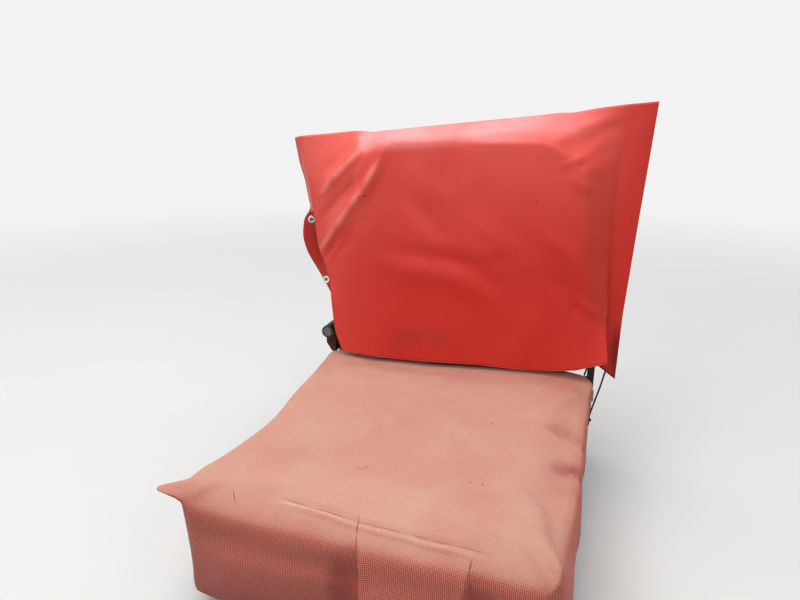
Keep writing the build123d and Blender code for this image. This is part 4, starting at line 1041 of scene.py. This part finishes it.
def inflated(piece, pinned_below):
    """Lets the cover swell under pressure as cloth does, then caps how far each point went."""
    rest = points_of(piece)
    group = piece.vertex_groups.new(name="pinned")
    group.add([i for i, p in enumerate(rest) if p[2] < pinned_below], 1.0, "REPLACE")
    cloth = piece.modifiers.new("cloth", "CLOTH")
    cloth.settings.vertex_group_mass = "pinned"
    cloth.settings.quality = 5
    cloth.settings.mass = 0.25
    cloth.settings.tension_stiffness = 18
    cloth.settings.compression_stiffness = 10
    cloth.settings.bending_stiffness = 1.2
    cloth.settings.use_pressure = True
    cloth.settings.uniform_pressure_force = SWELL_PRESSURE
    cloth.settings.effector_weights.gravity = 0.0
    cloth.collision_settings.use_collision = False
    cloth.point_cache.frame_start, cloth.point_cache.frame_end = 1, SWELL_FRAMES
    scene = bpy.context.scene
    for number in range(1, SWELL_FRAMES + 1):
        scene.frame_set(number)
    only(piece)
    bpy.ops.object.modifier_apply(modifier=cloth.name)
    scene.frame_set(1)
    move = points_of(piece) - rest
    far = np.linalg.norm(move, axis=1)[:, None]
    side, top = sizes().side_swell, sizes().swell
    most = side + (top - side) * step(rest[:, 2], FOAM_TOP - 0.02, FOAM_TOP)[:, None]
    move *= most * np.tanh(far / most) / np.maximum(far, 1e-9)
    move_points(piece, rest + move)
    piece.vertex_groups.clear()


def edge_at(corners, places):
    """Where a soft edge line given as (y, x) lies at some places along y."""
    table = np.array(corners, float) * MM
    even = np.linspace(-0.27, 0.27, 55)
    line = softened_line(np.interp(even, table[:, 0], table[:, 1]), 8)
    return np.interp(places, even, line)


def shape_outline(points, upper, surface):
    """Moves the edges of the top to the cover's outline, and raises its crown and its back."""
    x, y, z = points.T.copy()
    held = 0.25 + 0.75 * upper
    points[:, 0] += (edge_at(LEFT_EDGE, y) + SWOLLEN_HALF) * step(x, -0.10, -0.222) * held
    points[:, 0] += (edge_at(RIGHT_EDGE, y) - SWOLLEN_HALF) * step(x, 0.10, 0.222) * held
    points[:, 1] += 0.022 * step(y, 0.16, 0.228) * step(z, 0.11, 0.16)
    inner_x, inner_y = np.abs(x) / 0.235, np.abs(y) / 0.2375
    points[:, 2] += sizes().crown * (1 - inner_x ** 2).clip(0) * (1 - inner_y ** 2).clip(0) * surface
    back_x, back_z = np.array(BACK_EDGE).T * MM
    back_height = np.interp(x, back_x, back_z)
    for level, near in ((EDGE_HEIGHT, step(x, -0.165, -0.212)), (back_height, step(y, 0.165, 0.206))):
        points[:, 2] += (level - points[:, 2]) * near * surface * step(y, -0.225, -0.170)
    rim_x, rim_lift = np.array(BACK_RIM).T * MM
    points[:, 2] += np.interp(x, rim_x, rim_lift) * step(y, 0.207, 0.220) * surface


def sew_tuck(points, surface):
    """Raises the tuck's doubled edge along the front of the top, with a groove behind it."""
    x, y, _ = points.T
    line_x, line_y = np.array(TUCK).T * MM
    across = y - np.interp(x, line_x, line_y)
    ends = step(x, line_x[0] - 0.01, line_x[0] + 0.04) * step(x, line_x[-1], line_x[-1] - 0.05)
    raised = bell(across, -0.0024, 0.0030) - bell(across, 0.0032, 0.0036)
    points[:, 2] += TUCK_HEIGHT * raised * ends * surface


def fold_pleats(points):
    """Sets the front back beside each pleat's line, more and wider towards its foot."""
    x, y, z = points.T.copy()
    front = step(y, -0.212, -0.229)
    down = step(z, PLEAT_TOP, PLEAT_FULL)
    for corners, outward in PLEATS.values():
        heights, places = np.array(corners, float).T * MM
        beside = (x - np.interp(z, heights, places)) * outward
        recess = step(beside, -0.0012, 0.0016) * np.exp(-np.maximum(beside, 0) / (0.010 + 0.036 * down))
        lip = 0.25 * bell(beside, -0.004, 0.005)
        points[:, 1] += front * sizes().pleat_depth * down * (recess - lip)


def sculpt_cushion(piece):
    """Gives the swollen block the cover's outline, dents, tuck, pleats, slack and ear."""
    points = points_of(piece)
    x, y, z = points.T.copy()
    top = FOAM_TOP + 0.003
    upper = step(z, top - 0.075, top - 0.012)
    surface = step(z, top - 0.030, top - 0.010)
    shape_outline(points, upper, surface)
    for line, width, height in SIDE_DENTS:
        dent = fold(x / MM, y / MM, line, width, height) * MM
        points[:, 2] += dent * surface
        points[:, 0] += 0.6 * dent * step(x, 0.205, 0.233) * upper
    slack = np.sin(31 * x + 17 * y) + 0.7 * np.sin(-23 * x + 41 * y + 1.3) + 0.5 * np.sin(67 * x - 52 * y)
    points[:, 2] += SLACK * slack * surface
    sew_tuck(points, surface)
    fold_pleats(points)
    belly = SKIRT_BELLY * bell(z, 0.115, 0.035)
    points[:, 1] -= belly * step(y, -0.22, -0.236) * (0.6 + 0.4 * np.sin(19 * x + 0.8))
    hang = step(z, 0.15, 0.06)
    for waves, amount in SKIRT_WAVES:
        points[:, 1] += amount * hang * np.sin(waves * x + 0.7) * step(np.abs(y), 0.20, 0.236) * np.sign(y)
        points[:, 0] += amount * hang * np.sin(waves * y + 1.9) * step(np.abs(x), 0.20, 0.233) * np.sign(x)
    pinch_ear(points)
    move_points(piece, points)


def pinch_ear(points):
    """Lifts the front left corner of the top and draws a flat pinched ear out of it."""
    corner = points[:, 0] + points[:, 1] - 0.9 * np.maximum(points[:, 2], 0.0)
    nearest = int(np.argmin(np.where(points[:, 2] > EAR_LOW, corner, 1.0)))
    far = np.linalg.norm(points - points[nearest], axis=1)
    points += bell(far, 0, EAR_SPREAD)[:, None] * np.array(EAR_LIFT)
    root = points[nearest].copy()
    near = step(np.linalg.norm(points - root, axis=1), 0.017, 0.003)
    points += near[:, None] * (np.array(EAR_TIP) - root)
    points[:, 2] += 0.6 * near * (EAR_TIP[2] - points[:, 2])


def outside_outline(points, half, corner):
    """How far points are outside a rounded outline seen from above, and the directions out of it."""
    past = np.abs(points[:, :2]) - (np.array(half) - corner)
    beyond = np.maximum(past, 0)
    far = np.hypot(*beyond.T)
    straight = past >= past.max(axis=1)[:, None]
    out = np.where(far[:, None] > 1e-6, beyond / np.maximum(far, 1e-6)[:, None], straight)
    return far + np.minimum(past.max(axis=1), 0) - corner, out * np.sign(points[:, :2])


def underside(piece):
    """The points under the block that are away from its walls."""
    points = points_of(piece)
    far, _ = outside_outline(points, (BLOCK_WIDTH / 2, BLOCK_DEPTH / 2), BLOCK_CORNER)
    return (points[:, 2] < CUSHION_FOOT + 0.020) & (far < -0.004)


def open_skirt(piece, inner):
    """Lifts the underside on to the pan, so that only the hem hangs, and keeps the hem off the pan's rim."""
    points = points_of(piece)
    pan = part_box("seat_pan")[1]
    far, out = outside_outline(points, (pan.x, pan.y), RIM_CORNER)
    push = np.maximum(RIM_CLEAR - far, 0) * step(points[:, 2], pan.z + 0.022, pan.z + 0.002)
    points[:, :2] += out * (push * ~inner)[:, None]
    points[inner, 2] = pan.z + 0.0006
    move_points(piece, points)


def turned_over(place, height, half, radius):
    """Place along the cloth of a point that has gone over the top's edge, from the top's middle."""
    out = np.abs(place) - (half - radius)
    up = height - (FOAM_TOP - radius)
    arc = np.where(up > 0, radius * np.arctan2(np.maximum(out, 0), np.maximum(up, 1e-6)),
                   radius * math.pi / 2 - up)
    return np.sign(place) * np.where((out > 0) | (up < 0), half - radius + arc, np.abs(place))


def panel_uv(piece):
    """Lays the cover out flat: the front and back go on from the top, and so does each side."""
    mesh = piece.data
    x, y, z = points_of(piece).T
    round_x = turned_over(x, z, SWOLLEN_HALF, SIDE_RIM)
    round_front = turned_over(y, z, SWOLLEN_HALF, FRONT_ROLL)
    round_back = turned_over(y, z, SWOLLEN_HALF, SIDE_RIM)
    round_y = np.where(y < 0, round_front, round_back)
    corners = loop_points(mesh)
    flat = np.empty((len(corners), 2), np.float32)
    normals = np.empty(len(mesh.polygons) * 3)
    mesh.polygons.foreach_get("normal", normals)
    totals = np.empty(len(mesh.polygons), int)
    mesh.polygons.foreach_get("loop_total", totals)
    owner = np.repeat(np.arange(len(mesh.polygons)), totals)
    sideways = (np.abs(normals[0::3]) > np.abs(normals[1::3]))[owner]
    flat[:, 0] = np.where(sideways, round_x[corners], x[corners])
    flat[:, 1] = np.where(sideways, y[corners], round_y[corners])
    layer = mesh.uv_layers[0] if mesh.uv_layers else mesh.uv_layers.new(name="flat_cut")
    layer.data.foreach_set("uv", flat.ravel())


def make_seat_cover():
    """Cushion in its fitted cover: foam that swells, then the cover's outline, seams and skirt."""
    cushion = cushion_block()
    inflated(cushion, CUSHION_FOOT + 0.02)
    modified(cushion, "SUBSURF", levels=1, render_levels=1)
    inner = underside(cushion)
    sculpt_cushion(cushion)
    open_skirt(cushion, inner)
    panel_uv(cushion)
    coat(woven_cover(), cushion)
    cushion.data.shade_smooth()
    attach(cushion, "seat")
    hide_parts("cushion")


# Back pad

PAD_RIM = 0.021
PAD_SEAM = 0.022
PAD_GROOVES = (0.185, 0.290, 0.385)
GROOVE_DEPTH = 0.0030


def make_back_pad():
    """Foam pad in vinyl, with a seam round its rim and three stitched grooves, on the leaning board."""
    width, height = 2 * (PAD_HALF_WIDTH - 2) * MM, (PAD_HIGH - PAD_LOW - 4) * MM
    front, back = (PAD_FRONT_N + 1.5) * MM, (BOARD_BACK_N - 8.0) * MM
    middle = (PAD_HIGH + PAD_LOW) / 2 * MM
    bpy.ops.object.select_all(action="DESELECT")
    bpy.ops.mesh.primitive_cube_add(size=1.0, location=(0, (front + back) / 2, middle),
                                    scale=(width, back - front, height))
    pad = added("back_pad_foam")
    with edited(pad) as mesh:
        corners = [e for e in mesh.edges if abs(e.verts[0].co.y - e.verts[1].co.y) > 0.02]
        bmesh.ops.bevel(mesh, geom=corners, offset=PAD_CORNER * MM, segments=10, profile=0.5, affect="EDGES")
        rim = [e for e in mesh.edges if max(v.co.y for v in e.verts) < front + 1e-4]
        bmesh.ops.bevel(mesh, geom=rim, offset=PAD_RIM, segments=4, profile=0.5, affect="EDGES")
    modified(pad, "REMESH", mode="VOXEL", voxel_size=FOAM_VOXEL, use_smooth_shade=True)
    modified(pad, "SMOOTH", factor=0.5, iterations=4)
    modified(pad, "SUBSURF", levels=1, render_levels=1)
    points = points_of(pad)
    x, n, s = points[:, 0], points[:, 1], points[:, 2]
    around = np.maximum(np.abs(x) / (width / 2), np.abs(s - middle) / (height / 2))
    seam = bell(n, front + PAD_SEAM, 0.0018) * step(around, 0.80, 0.97)
    points[:, 0] = x * (1 - 0.012 * seam)
    points[:, 2] = middle + (s - middle) * (1 - 0.012 * seam)
    for level in PAD_GROOVES:
        points[:, 1] += GROOVE_DEPTH * bell(s, level, 0.0022) * step(n, front + 0.014, front + 0.004)
    move_points(pad, points)
    pad.data.transform(BACK_FRAME)
    coat(vinyl(), pad)
    pad.data.shade_smooth()
    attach(pad, "backrest")
    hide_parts("back_pad")


# Tie cord: from the knot by the right leg, over behind the cover's flange, and down

KNOT_POINTS = 22
CORD_ROUTE = [(0.2265, 0.2815, 0.176), (0.2285, 0.2828, 0.186), (0.2325, 0.2844, 0.196),
              (0.2385, 0.2856, 0.205), (0.2465, 0.286, 0.2115), (0.256, 0.285, 0.2105),
              (0.262, 0.2835, 0.2025), (0.261, 0.2815, 0.191), (0.258, 0.2785, 0.178),
              (0.2545, 0.272, 0.162), (0.2495, 0.2645, 0.145), (0.2445, 0.2585, 0.127),
              (0.2405, 0.255, 0.109)]


def soft_line(name, route, radius, material, closed=False):
    """A smooth round cord along its control points."""
    curve = bpy.data.curves.new(name, "CURVE")
    curve.dimensions = "3D"
    line = curve.splines.new("NURBS")
    line.points.add(len(route) - 1)
    for point, place in zip(line.points, route):
        point.co = (*place, 1.0)
    line.order_u = 3
    line.use_endpoint_u = not closed
    line.use_cyclic_u = closed
    line.resolution_u = 8
    curve.bevel_depth = radius
    curve.bevel_resolution = 4
    curve.use_fill_caps = True
    curve.materials.append(material)
    return placed(name, curve)


def knot_route(middle, size):
    """Control points of an overhand knot of a given radius."""
    route = []
    for t in np.linspace(0, 2 * math.pi, KNOT_POINTS, endpoint=False):
        spread = 0.30 * (2.0 + math.cos(3 * t))
        turn = Vector((spread * math.cos(2 * t), spread * math.sin(2 * t), 0.55 * math.sin(3 * t)))
        route.append(middle + size * turn)
    return route


def make_tie_cord():
    """Cord with its two knots; the loop round the leg is the frame's own piece."""
    size = sizes()
    black = braided()
    cord = soft_line("tie_line", CORD_ROUTE, size.cord_diameter / 2, black)
    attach(cord, "backrest")
    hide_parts("tie_cord")
    for node, name in (("cord_knot", "leg_knot"), ("cord_end_knot", "end_knot")):
        low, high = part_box(node)
        route = knot_route((low + high) / 2, 0.98 * min(high - low) / 2)
        knot = soft_line(name, route, size.cord_diameter * 0.42, black, closed=True)
        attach(knot, "backrest")
        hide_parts(node)
    coat(black, "cord_loop")


# Hardware

WASHER_THICKNESS = 0.0012
GRIP_RIBS = 9


def bolt(name, place, axis, radius, height, material):
    """Bolt head with a washer, seated at a place and pointing along an axis."""
    bpy.ops.object.select_all(action="DESELECT")
    bpy.ops.mesh.primitive_cylinder_add(vertices=6, radius=radius, depth=height,
                                        location=(0, 0, height / 2 + WASHER_THICKNESS))
    head = added(name)
    modified(head, "BEVEL", width=radius * 0.12, segments=2, limit_method="ANGLE")
    bpy.ops.object.select_all(action="DESELECT")
    bpy.ops.mesh.primitive_cylinder_add(vertices=28, radius=radius * 1.35, depth=WASHER_THICKNESS,
                                        location=(0, 0, WASHER_THICKNESS / 2))
    washer = added(name + "_washer")
    modified(washer, "BEVEL", width=0.0003, segments=1, limit_method="ANGLE")
    whole = joined(name, [head, washer])
    turn = Vector(axis).to_track_quat("Z", "Y").to_matrix().to_4x4()
    whole.data.transform(Matrix.Translation(place) @ turn)
    coat(material, whole)
    return smoothed(whole)


def bolt_row(name, places, axis, radius, height, material, body):
    """Like bolts as one piece that rides on a body."""
    heads = [bolt(f"{name}_{index}", place, axis, radius, height, material)
             for index, place in enumerate(places)]
    whole = joined(name, heads)
    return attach(whole, body)


def make_rails():
    """Finishes of the rails, straps, latch rod and pan, and the bolts through the lower rails."""
    zinc = plated("rail_zinc", paint("zinc"))
    bright = plated("bright_steel", linear((0.66, 0.65, 0.62)), 0.30)
    coat(worn_paint("strap_paint", 0.45, 0.7), "strap_front", "strap_rear")
    coat(zinc, "rail_lower_left", "rail_lower_right", "rail_upper_left", "rail_upper_right")
    coat(bright, "rail_rollers")
    coat(plated("rod_zinc", linear((0.60, 0.59, 0.55)), 0.35), "slide_lever")
    coat(zinc, "lever_brackets")
    coat(worn_paint("pan_paint", 0.40, 0.4), "seat_pan")
    places = []
    for rail in ("rail_lower_left", "rail_lower_right"):
        low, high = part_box(rail)
        for strap in ("strap_front", "strap_rear"):
            front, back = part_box(strap)
            places.append(((low.x + high.x) / 2, (front.y + back.y) / 2, low.z + 0.0025))
    bolt_row("rail_bolts", places, (0, 0, 1), 0.0042, 0.0026, bright, "base")


def make_lever_grip():
    """Ribbed rubber grip over the lever's end."""
    low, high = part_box("lever_grip")
    middle, length = (low + high) / 2, high.x - low.x
    radius = (high.z - low.z) / 2
    bpy.ops.object.select_all(action="DESELECT")
    bpy.ops.mesh.primitive_cylinder_add(vertices=40, radius=radius * 0.90, depth=length,
                                        end_fill_type="TRIFAN", location=middle, rotation=(0, math.pi / 2, 0))
    grip = added("rubber_grip")
    cuts = 6 * GRIP_RIBS
    with edited(grip) as mesh:
        for index in range(1, cuts):
            place = low.x + length * index / cuts
            geometry = mesh.verts[:] + mesh.edges[:] + mesh.faces[:]
            bmesh.ops.bisect_plane(mesh, geom=geometry, plane_co=(place, 0, 0), plane_no=(1, 0, 0))
    points = points_of(grip)
    along = (points[:, 0] - low.x) / length
    from_middle = np.abs(along - 0.5)
    wave = 0.5 + 0.5 * np.cos(2 * math.pi * GRIP_RIBS * along)
    round_end = np.sqrt(np.clip(1 - np.clip((from_middle - 0.46) / 0.04, 0, 1) ** 2, 0.45, 1))
    scale = (0.97 + 0.13 * wave * step(from_middle, 0.46, 0.40)) * round_end
    points[:, 1] = middle.y + (points[:, 1] - middle.y) * scale
    points[:, 2] = middle.z + (points[:, 2] - middle.z) * scale
    move_points(grip, points)
    coat(moulded("grip_rubber", linear((0.045, 0.045, 0.047)), 0.6), grip)
    smoothed(grip, 50)
    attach(grip, "slide_lever")
    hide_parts("lever_grip")


def make_backrest_frame():
    """Finishes of the legs, tubes, saddles, hinges, knob and board."""
    coat(worn_paint("leg_paint", 0.38, 0.35), "leg_left", "leg_right")
    coat(worn_paint("frame_paint", 0.45, 0.6), "cross_tube_lower", "cross_tube_upper", "tube_saddles",
         "hinge_plate_left", "hinge_plate_right")
    coat(plated("pin_steel", linear((0.55, 0.54, 0.51)), 0.35), "pivot_pins", "tilt_stud")
    coat(moulded("knob_plastic", linear((0.05, 0.05, 0.052)), 0.42), "tilt_knob")
    coat(plywood(), "back_board")


def make_armrest_socket():
    """Finishes of the socket, its bracket and its plug."""
    coat(worn_paint("socket_paint", 0.5, 1.0), "armrest_socket")
    coat(rusted(), "socket_bracket")
    coat(plug_grey(), "socket_plug")


# Stage: the camera, with its lens and sensor in millimetres, and the lamps as (place, width, power)

CAMERA_PLACE = (0.224, -0.735, 0.620)
CAMERA_FORWARD = (-0.3009, 0.9046, -0.3019)
CAMERA_LENS = 27.0
SENSOR_WIDTH = 36.0
FLOOR_RADIUS = 24.0
BACKDROP = (0.95, 0.95, 0.95)
SKY_LIGHT = (0.93, 0.965, 1.0, 1.0)
SKY_STRENGTH = 0.56
LAMPS_AIM = (0, 0.05, 0.25)
LAMPS = {
    "sky_panel": ((-0.5, 0.0, 3.2), 3.0, 78.0),
    "side_panel": ((-1.6, -2.4, 2.6), 1.8, 22.0),
    "right_panel": ((2.2, -1.6, 1.9), 1.6, 8.0),
}


def shown_plainly(tree):
    """One for the rays that see the background itself: from the camera, and off metal or through glass."""
    path = tree.nodes.new("ShaderNodeLightPath")
    seen = path.outputs["Is Camera Ray"]
    for ray in ("Is Glossy Ray", "Is Transmission Ray"):
        either = tree.nodes.new("ShaderNodeMath")
        either.operation = "MAXIMUM"
        tree.links.new(seen, either.inputs[0])
        tree.links.new(path.outputs[ray], either.inputs[1])
        seen = either.outputs["Value"]
    return seen


def make_floor():
    """Pale floor that fades into the backdrop away from the seat."""
    bpy.ops.object.select_all(action="DESELECT")
    bpy.ops.mesh.primitive_circle_add(vertices=96, radius=FLOOR_RADIUS, fill_type="NGON", location=(0, 0, 0))
    floor = added("studio_floor")
    pale = Finish("studio_floor", roughness=0.9)
    worn = pale.band(pale.noise(3.0, 4, 0.6), 0.3, 0.7, 0.0, 0.12)
    tone = pale.over(paint("floor"), (0.80, 0.80, 0.79), worn)
    seen = shown_plainly(pale.tree)
    tone = pale.mix(seen, linear((0.55, 0.55, 0.54)), tone)
    pale.finish(tone, None, pale.bump(pale.noise(180, 3, 0.6), 0.0006, 0.15))
    glow = pale.add("Emission", Color=linear(BACKDROP), Strength=1.0)
    blend = pale.add("MixShader")
    pale.feed(blend.inputs[0], pale.product(pale.band(pale.length(pale.place), 0.8, 3.6), seen))
    pale.feed(blend.inputs[1], pale.shader.outputs["BSDF"])
    pale.feed(blend.inputs[2], glow.outputs["Emission"])
    pale.feed(node_of(pale.tree, "OUTPUT_MATERIAL").inputs["Surface"], blend.outputs["Shader"])
    coat(pale.material, floor)


def make_sky():
    """Even overcast light, with a plain backdrop where the camera sees the sky itself."""
    world = bpy.data.worlds.new("overcast")
    world.use_nodes = True
    bpy.context.scene.world = world
    tree = world.node_tree
    sky = node_of(tree, "BACKGROUND")
    sky.inputs["Color"].default_value = SKY_LIGHT
    sky.inputs["Strength"].default_value = SKY_STRENGTH
    backdrop = tree.nodes.new("ShaderNodeBackground")
    backdrop.inputs["Color"].default_value = linear(BACKDROP)
    backdrop.inputs["Strength"].default_value = 1.0
    choose = tree.nodes.new("ShaderNodeMixShader")
    tree.links.new(shown_plainly(tree), choose.inputs[0])
    tree.links.new(sky.outputs[0], choose.inputs[1])
    tree.links.new(backdrop.outputs[0], choose.inputs[2])
    tree.links.new(choose.outputs[0], node_of(tree, "OUTPUT_WORLD").inputs["Surface"])


def turned(thing, place, turn):
    """Puts a lamp or the camera at its place, turned."""
    thing.location = place
    thing.rotation_mode = "QUATERNION"
    thing.rotation_quaternion = turn


def make_lamps():
    """Three soft square lamps that look at the seat."""
    for name, (place, width, power) in LAMPS.items():
        light = bpy.data.lights.new(name, "AREA")
        light.shape, light.size, light.energy = "SQUARE", width, power
        turned(placed(name, light), place, (Vector(place) - Vector(LAMPS_AIM)).to_track_quat("Z", "Y"))


def make_camera():
    """Camera at the place and with the lens that were fitted."""
    lens = bpy.data.cameras.new("camera")
    lens.lens, lens.sensor_width = CAMERA_LENS, SENSOR_WIDTH
    camera = placed("camera", lens)
    turned(camera, CAMERA_PLACE, Vector(CAMERA_FORWARD).to_track_quat("-Z", "Y"))
    bpy.context.scene.camera = camera


def make_stage():
    """Floor, light and camera."""
    bpy.context.scene.view_settings.view_transform = "Standard"
    make_floor()
    make_sky()
    make_lamps()
    make_camera()


# Operators, panel and registration

class SEAT_OT_stage(bpy.types.Operator):
    """Makes the floor, the light and the camera."""
    bl_idname = "seat.stage"
    bl_label = "Stage"

    def execute(self, context):
        make_stage()
        return {"FINISHED"}


class SEAT_OT_tie_cord(bpy.types.Operator):
    """Makes the tie cord and its knots."""
    bl_idname = "seat.tie_cord"
    bl_label = "Tie cord"

    def execute(self, context):
        make_tie_cord()
        return {"FINISHED"}


class SEAT_OT_back_cover(bpy.types.Operator):
    """Makes the loose back cover and its eyelets."""
    bl_idname = "seat.back_cover"
    bl_label = "Back cover"

    def execute(self, context):
        make_back_cover()
        return {"FINISHED"}


class SEAT_OT_seat_cover(bpy.types.Operator):
    """Makes the cushion in its woven cover."""
    bl_idname = "seat.seat_cover"
    bl_label = "Seat cover"

    def execute(self, context):
        make_seat_cover()
        return {"FINISHED"}


class SEAT_OT_back_pad(bpy.types.Operator):
    """Makes the vinyl back pad."""
    bl_idname = "seat.back_pad"
    bl_label = "Back pad"

    def execute(self, context):
        make_back_pad()
        return {"FINISHED"}


class SEAT_OT_backrest_frame(bpy.types.Operator):
    """Finishes legs, tubes and hinges."""
    bl_idname = "seat.backrest_frame"
    bl_label = "Backrest frame"

    def execute(self, context):
        make_backrest_frame()
        return {"FINISHED"}


class SEAT_OT_armrest_socket(bpy.types.Operator):
    """Finishes the socket and its plug."""
    bl_idname = "seat.armrest_socket"
    bl_label = "Armrest socket"

    def execute(self, context):
        make_armrest_socket()
        return {"FINISHED"}


class SEAT_OT_rails(bpy.types.Operator):
    """Finishes rails, straps and pan."""
    bl_idname = "seat.rails"
    bl_label = "Rails"

    def execute(self, context):
        make_rails()
        return {"FINISHED"}


class SEAT_OT_lever_grip(bpy.types.Operator):
    """Makes the ribbed rubber grip."""
    bl_idname = "seat.lever_grip"
    bl_label = "Lever grip"

    def execute(self, context):
        make_lever_grip()
        return {"FINISHED"}


class SEAT_PT_panel(bpy.types.Panel):
    """Lists the seat's pieces in the sidebar."""
    bl_label = "Operator seat"
    bl_idname = "SEAT_PT_panel"
    bl_space_type = "VIEW_3D"
    bl_region_type = "UI"
    bl_category = "Seat"

    def draw(self, context):
        for step_of_work in OPERATORS:
            self.layout.operator(step_of_work.bl_idname)


OPERATORS = [SEAT_OT_stage, SEAT_OT_tie_cord, SEAT_OT_back_cover, SEAT_OT_seat_cover, SEAT_OT_back_pad,
             SEAT_OT_backrest_frame, SEAT_OT_armrest_socket, SEAT_OT_rails, SEAT_OT_lever_grip]
CLASSES = [SeatSizes, SeatColours, *OPERATORS, SEAT_PT_panel]


def register():
    for each in CLASSES:
        bpy.utils.register_class(each)
    bpy.types.Scene.seat_sizes = PointerProperty(type=SeatSizes)
    bpy.types.Scene.seat_colours = PointerProperty(type=SeatColours)


def unregister():
    del bpy.types.Scene.seat_colours
    del bpy.types.Scene.seat_sizes
    for each in reversed(CLASSES):
        bpy.utils.unregister_class(each)


def main():
    """Dresses the seat, one operator after another."""
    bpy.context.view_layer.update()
    register()
    bpy.ops.seat.stage()
    bpy.ops.seat.tie_cord()
    bpy.ops.seat.back_cover()
    bpy.ops.seat.seat_cover()
    bpy.ops.seat.back_pad()
    bpy.ops.seat.backrest_frame()
    bpy.ops.seat.armrest_socket()
    bpy.ops.seat.rails()
    bpy.ops.seat.lever_grip()
    bpy.context.view_layer.update()


if __name__ == "__main__":
    main()
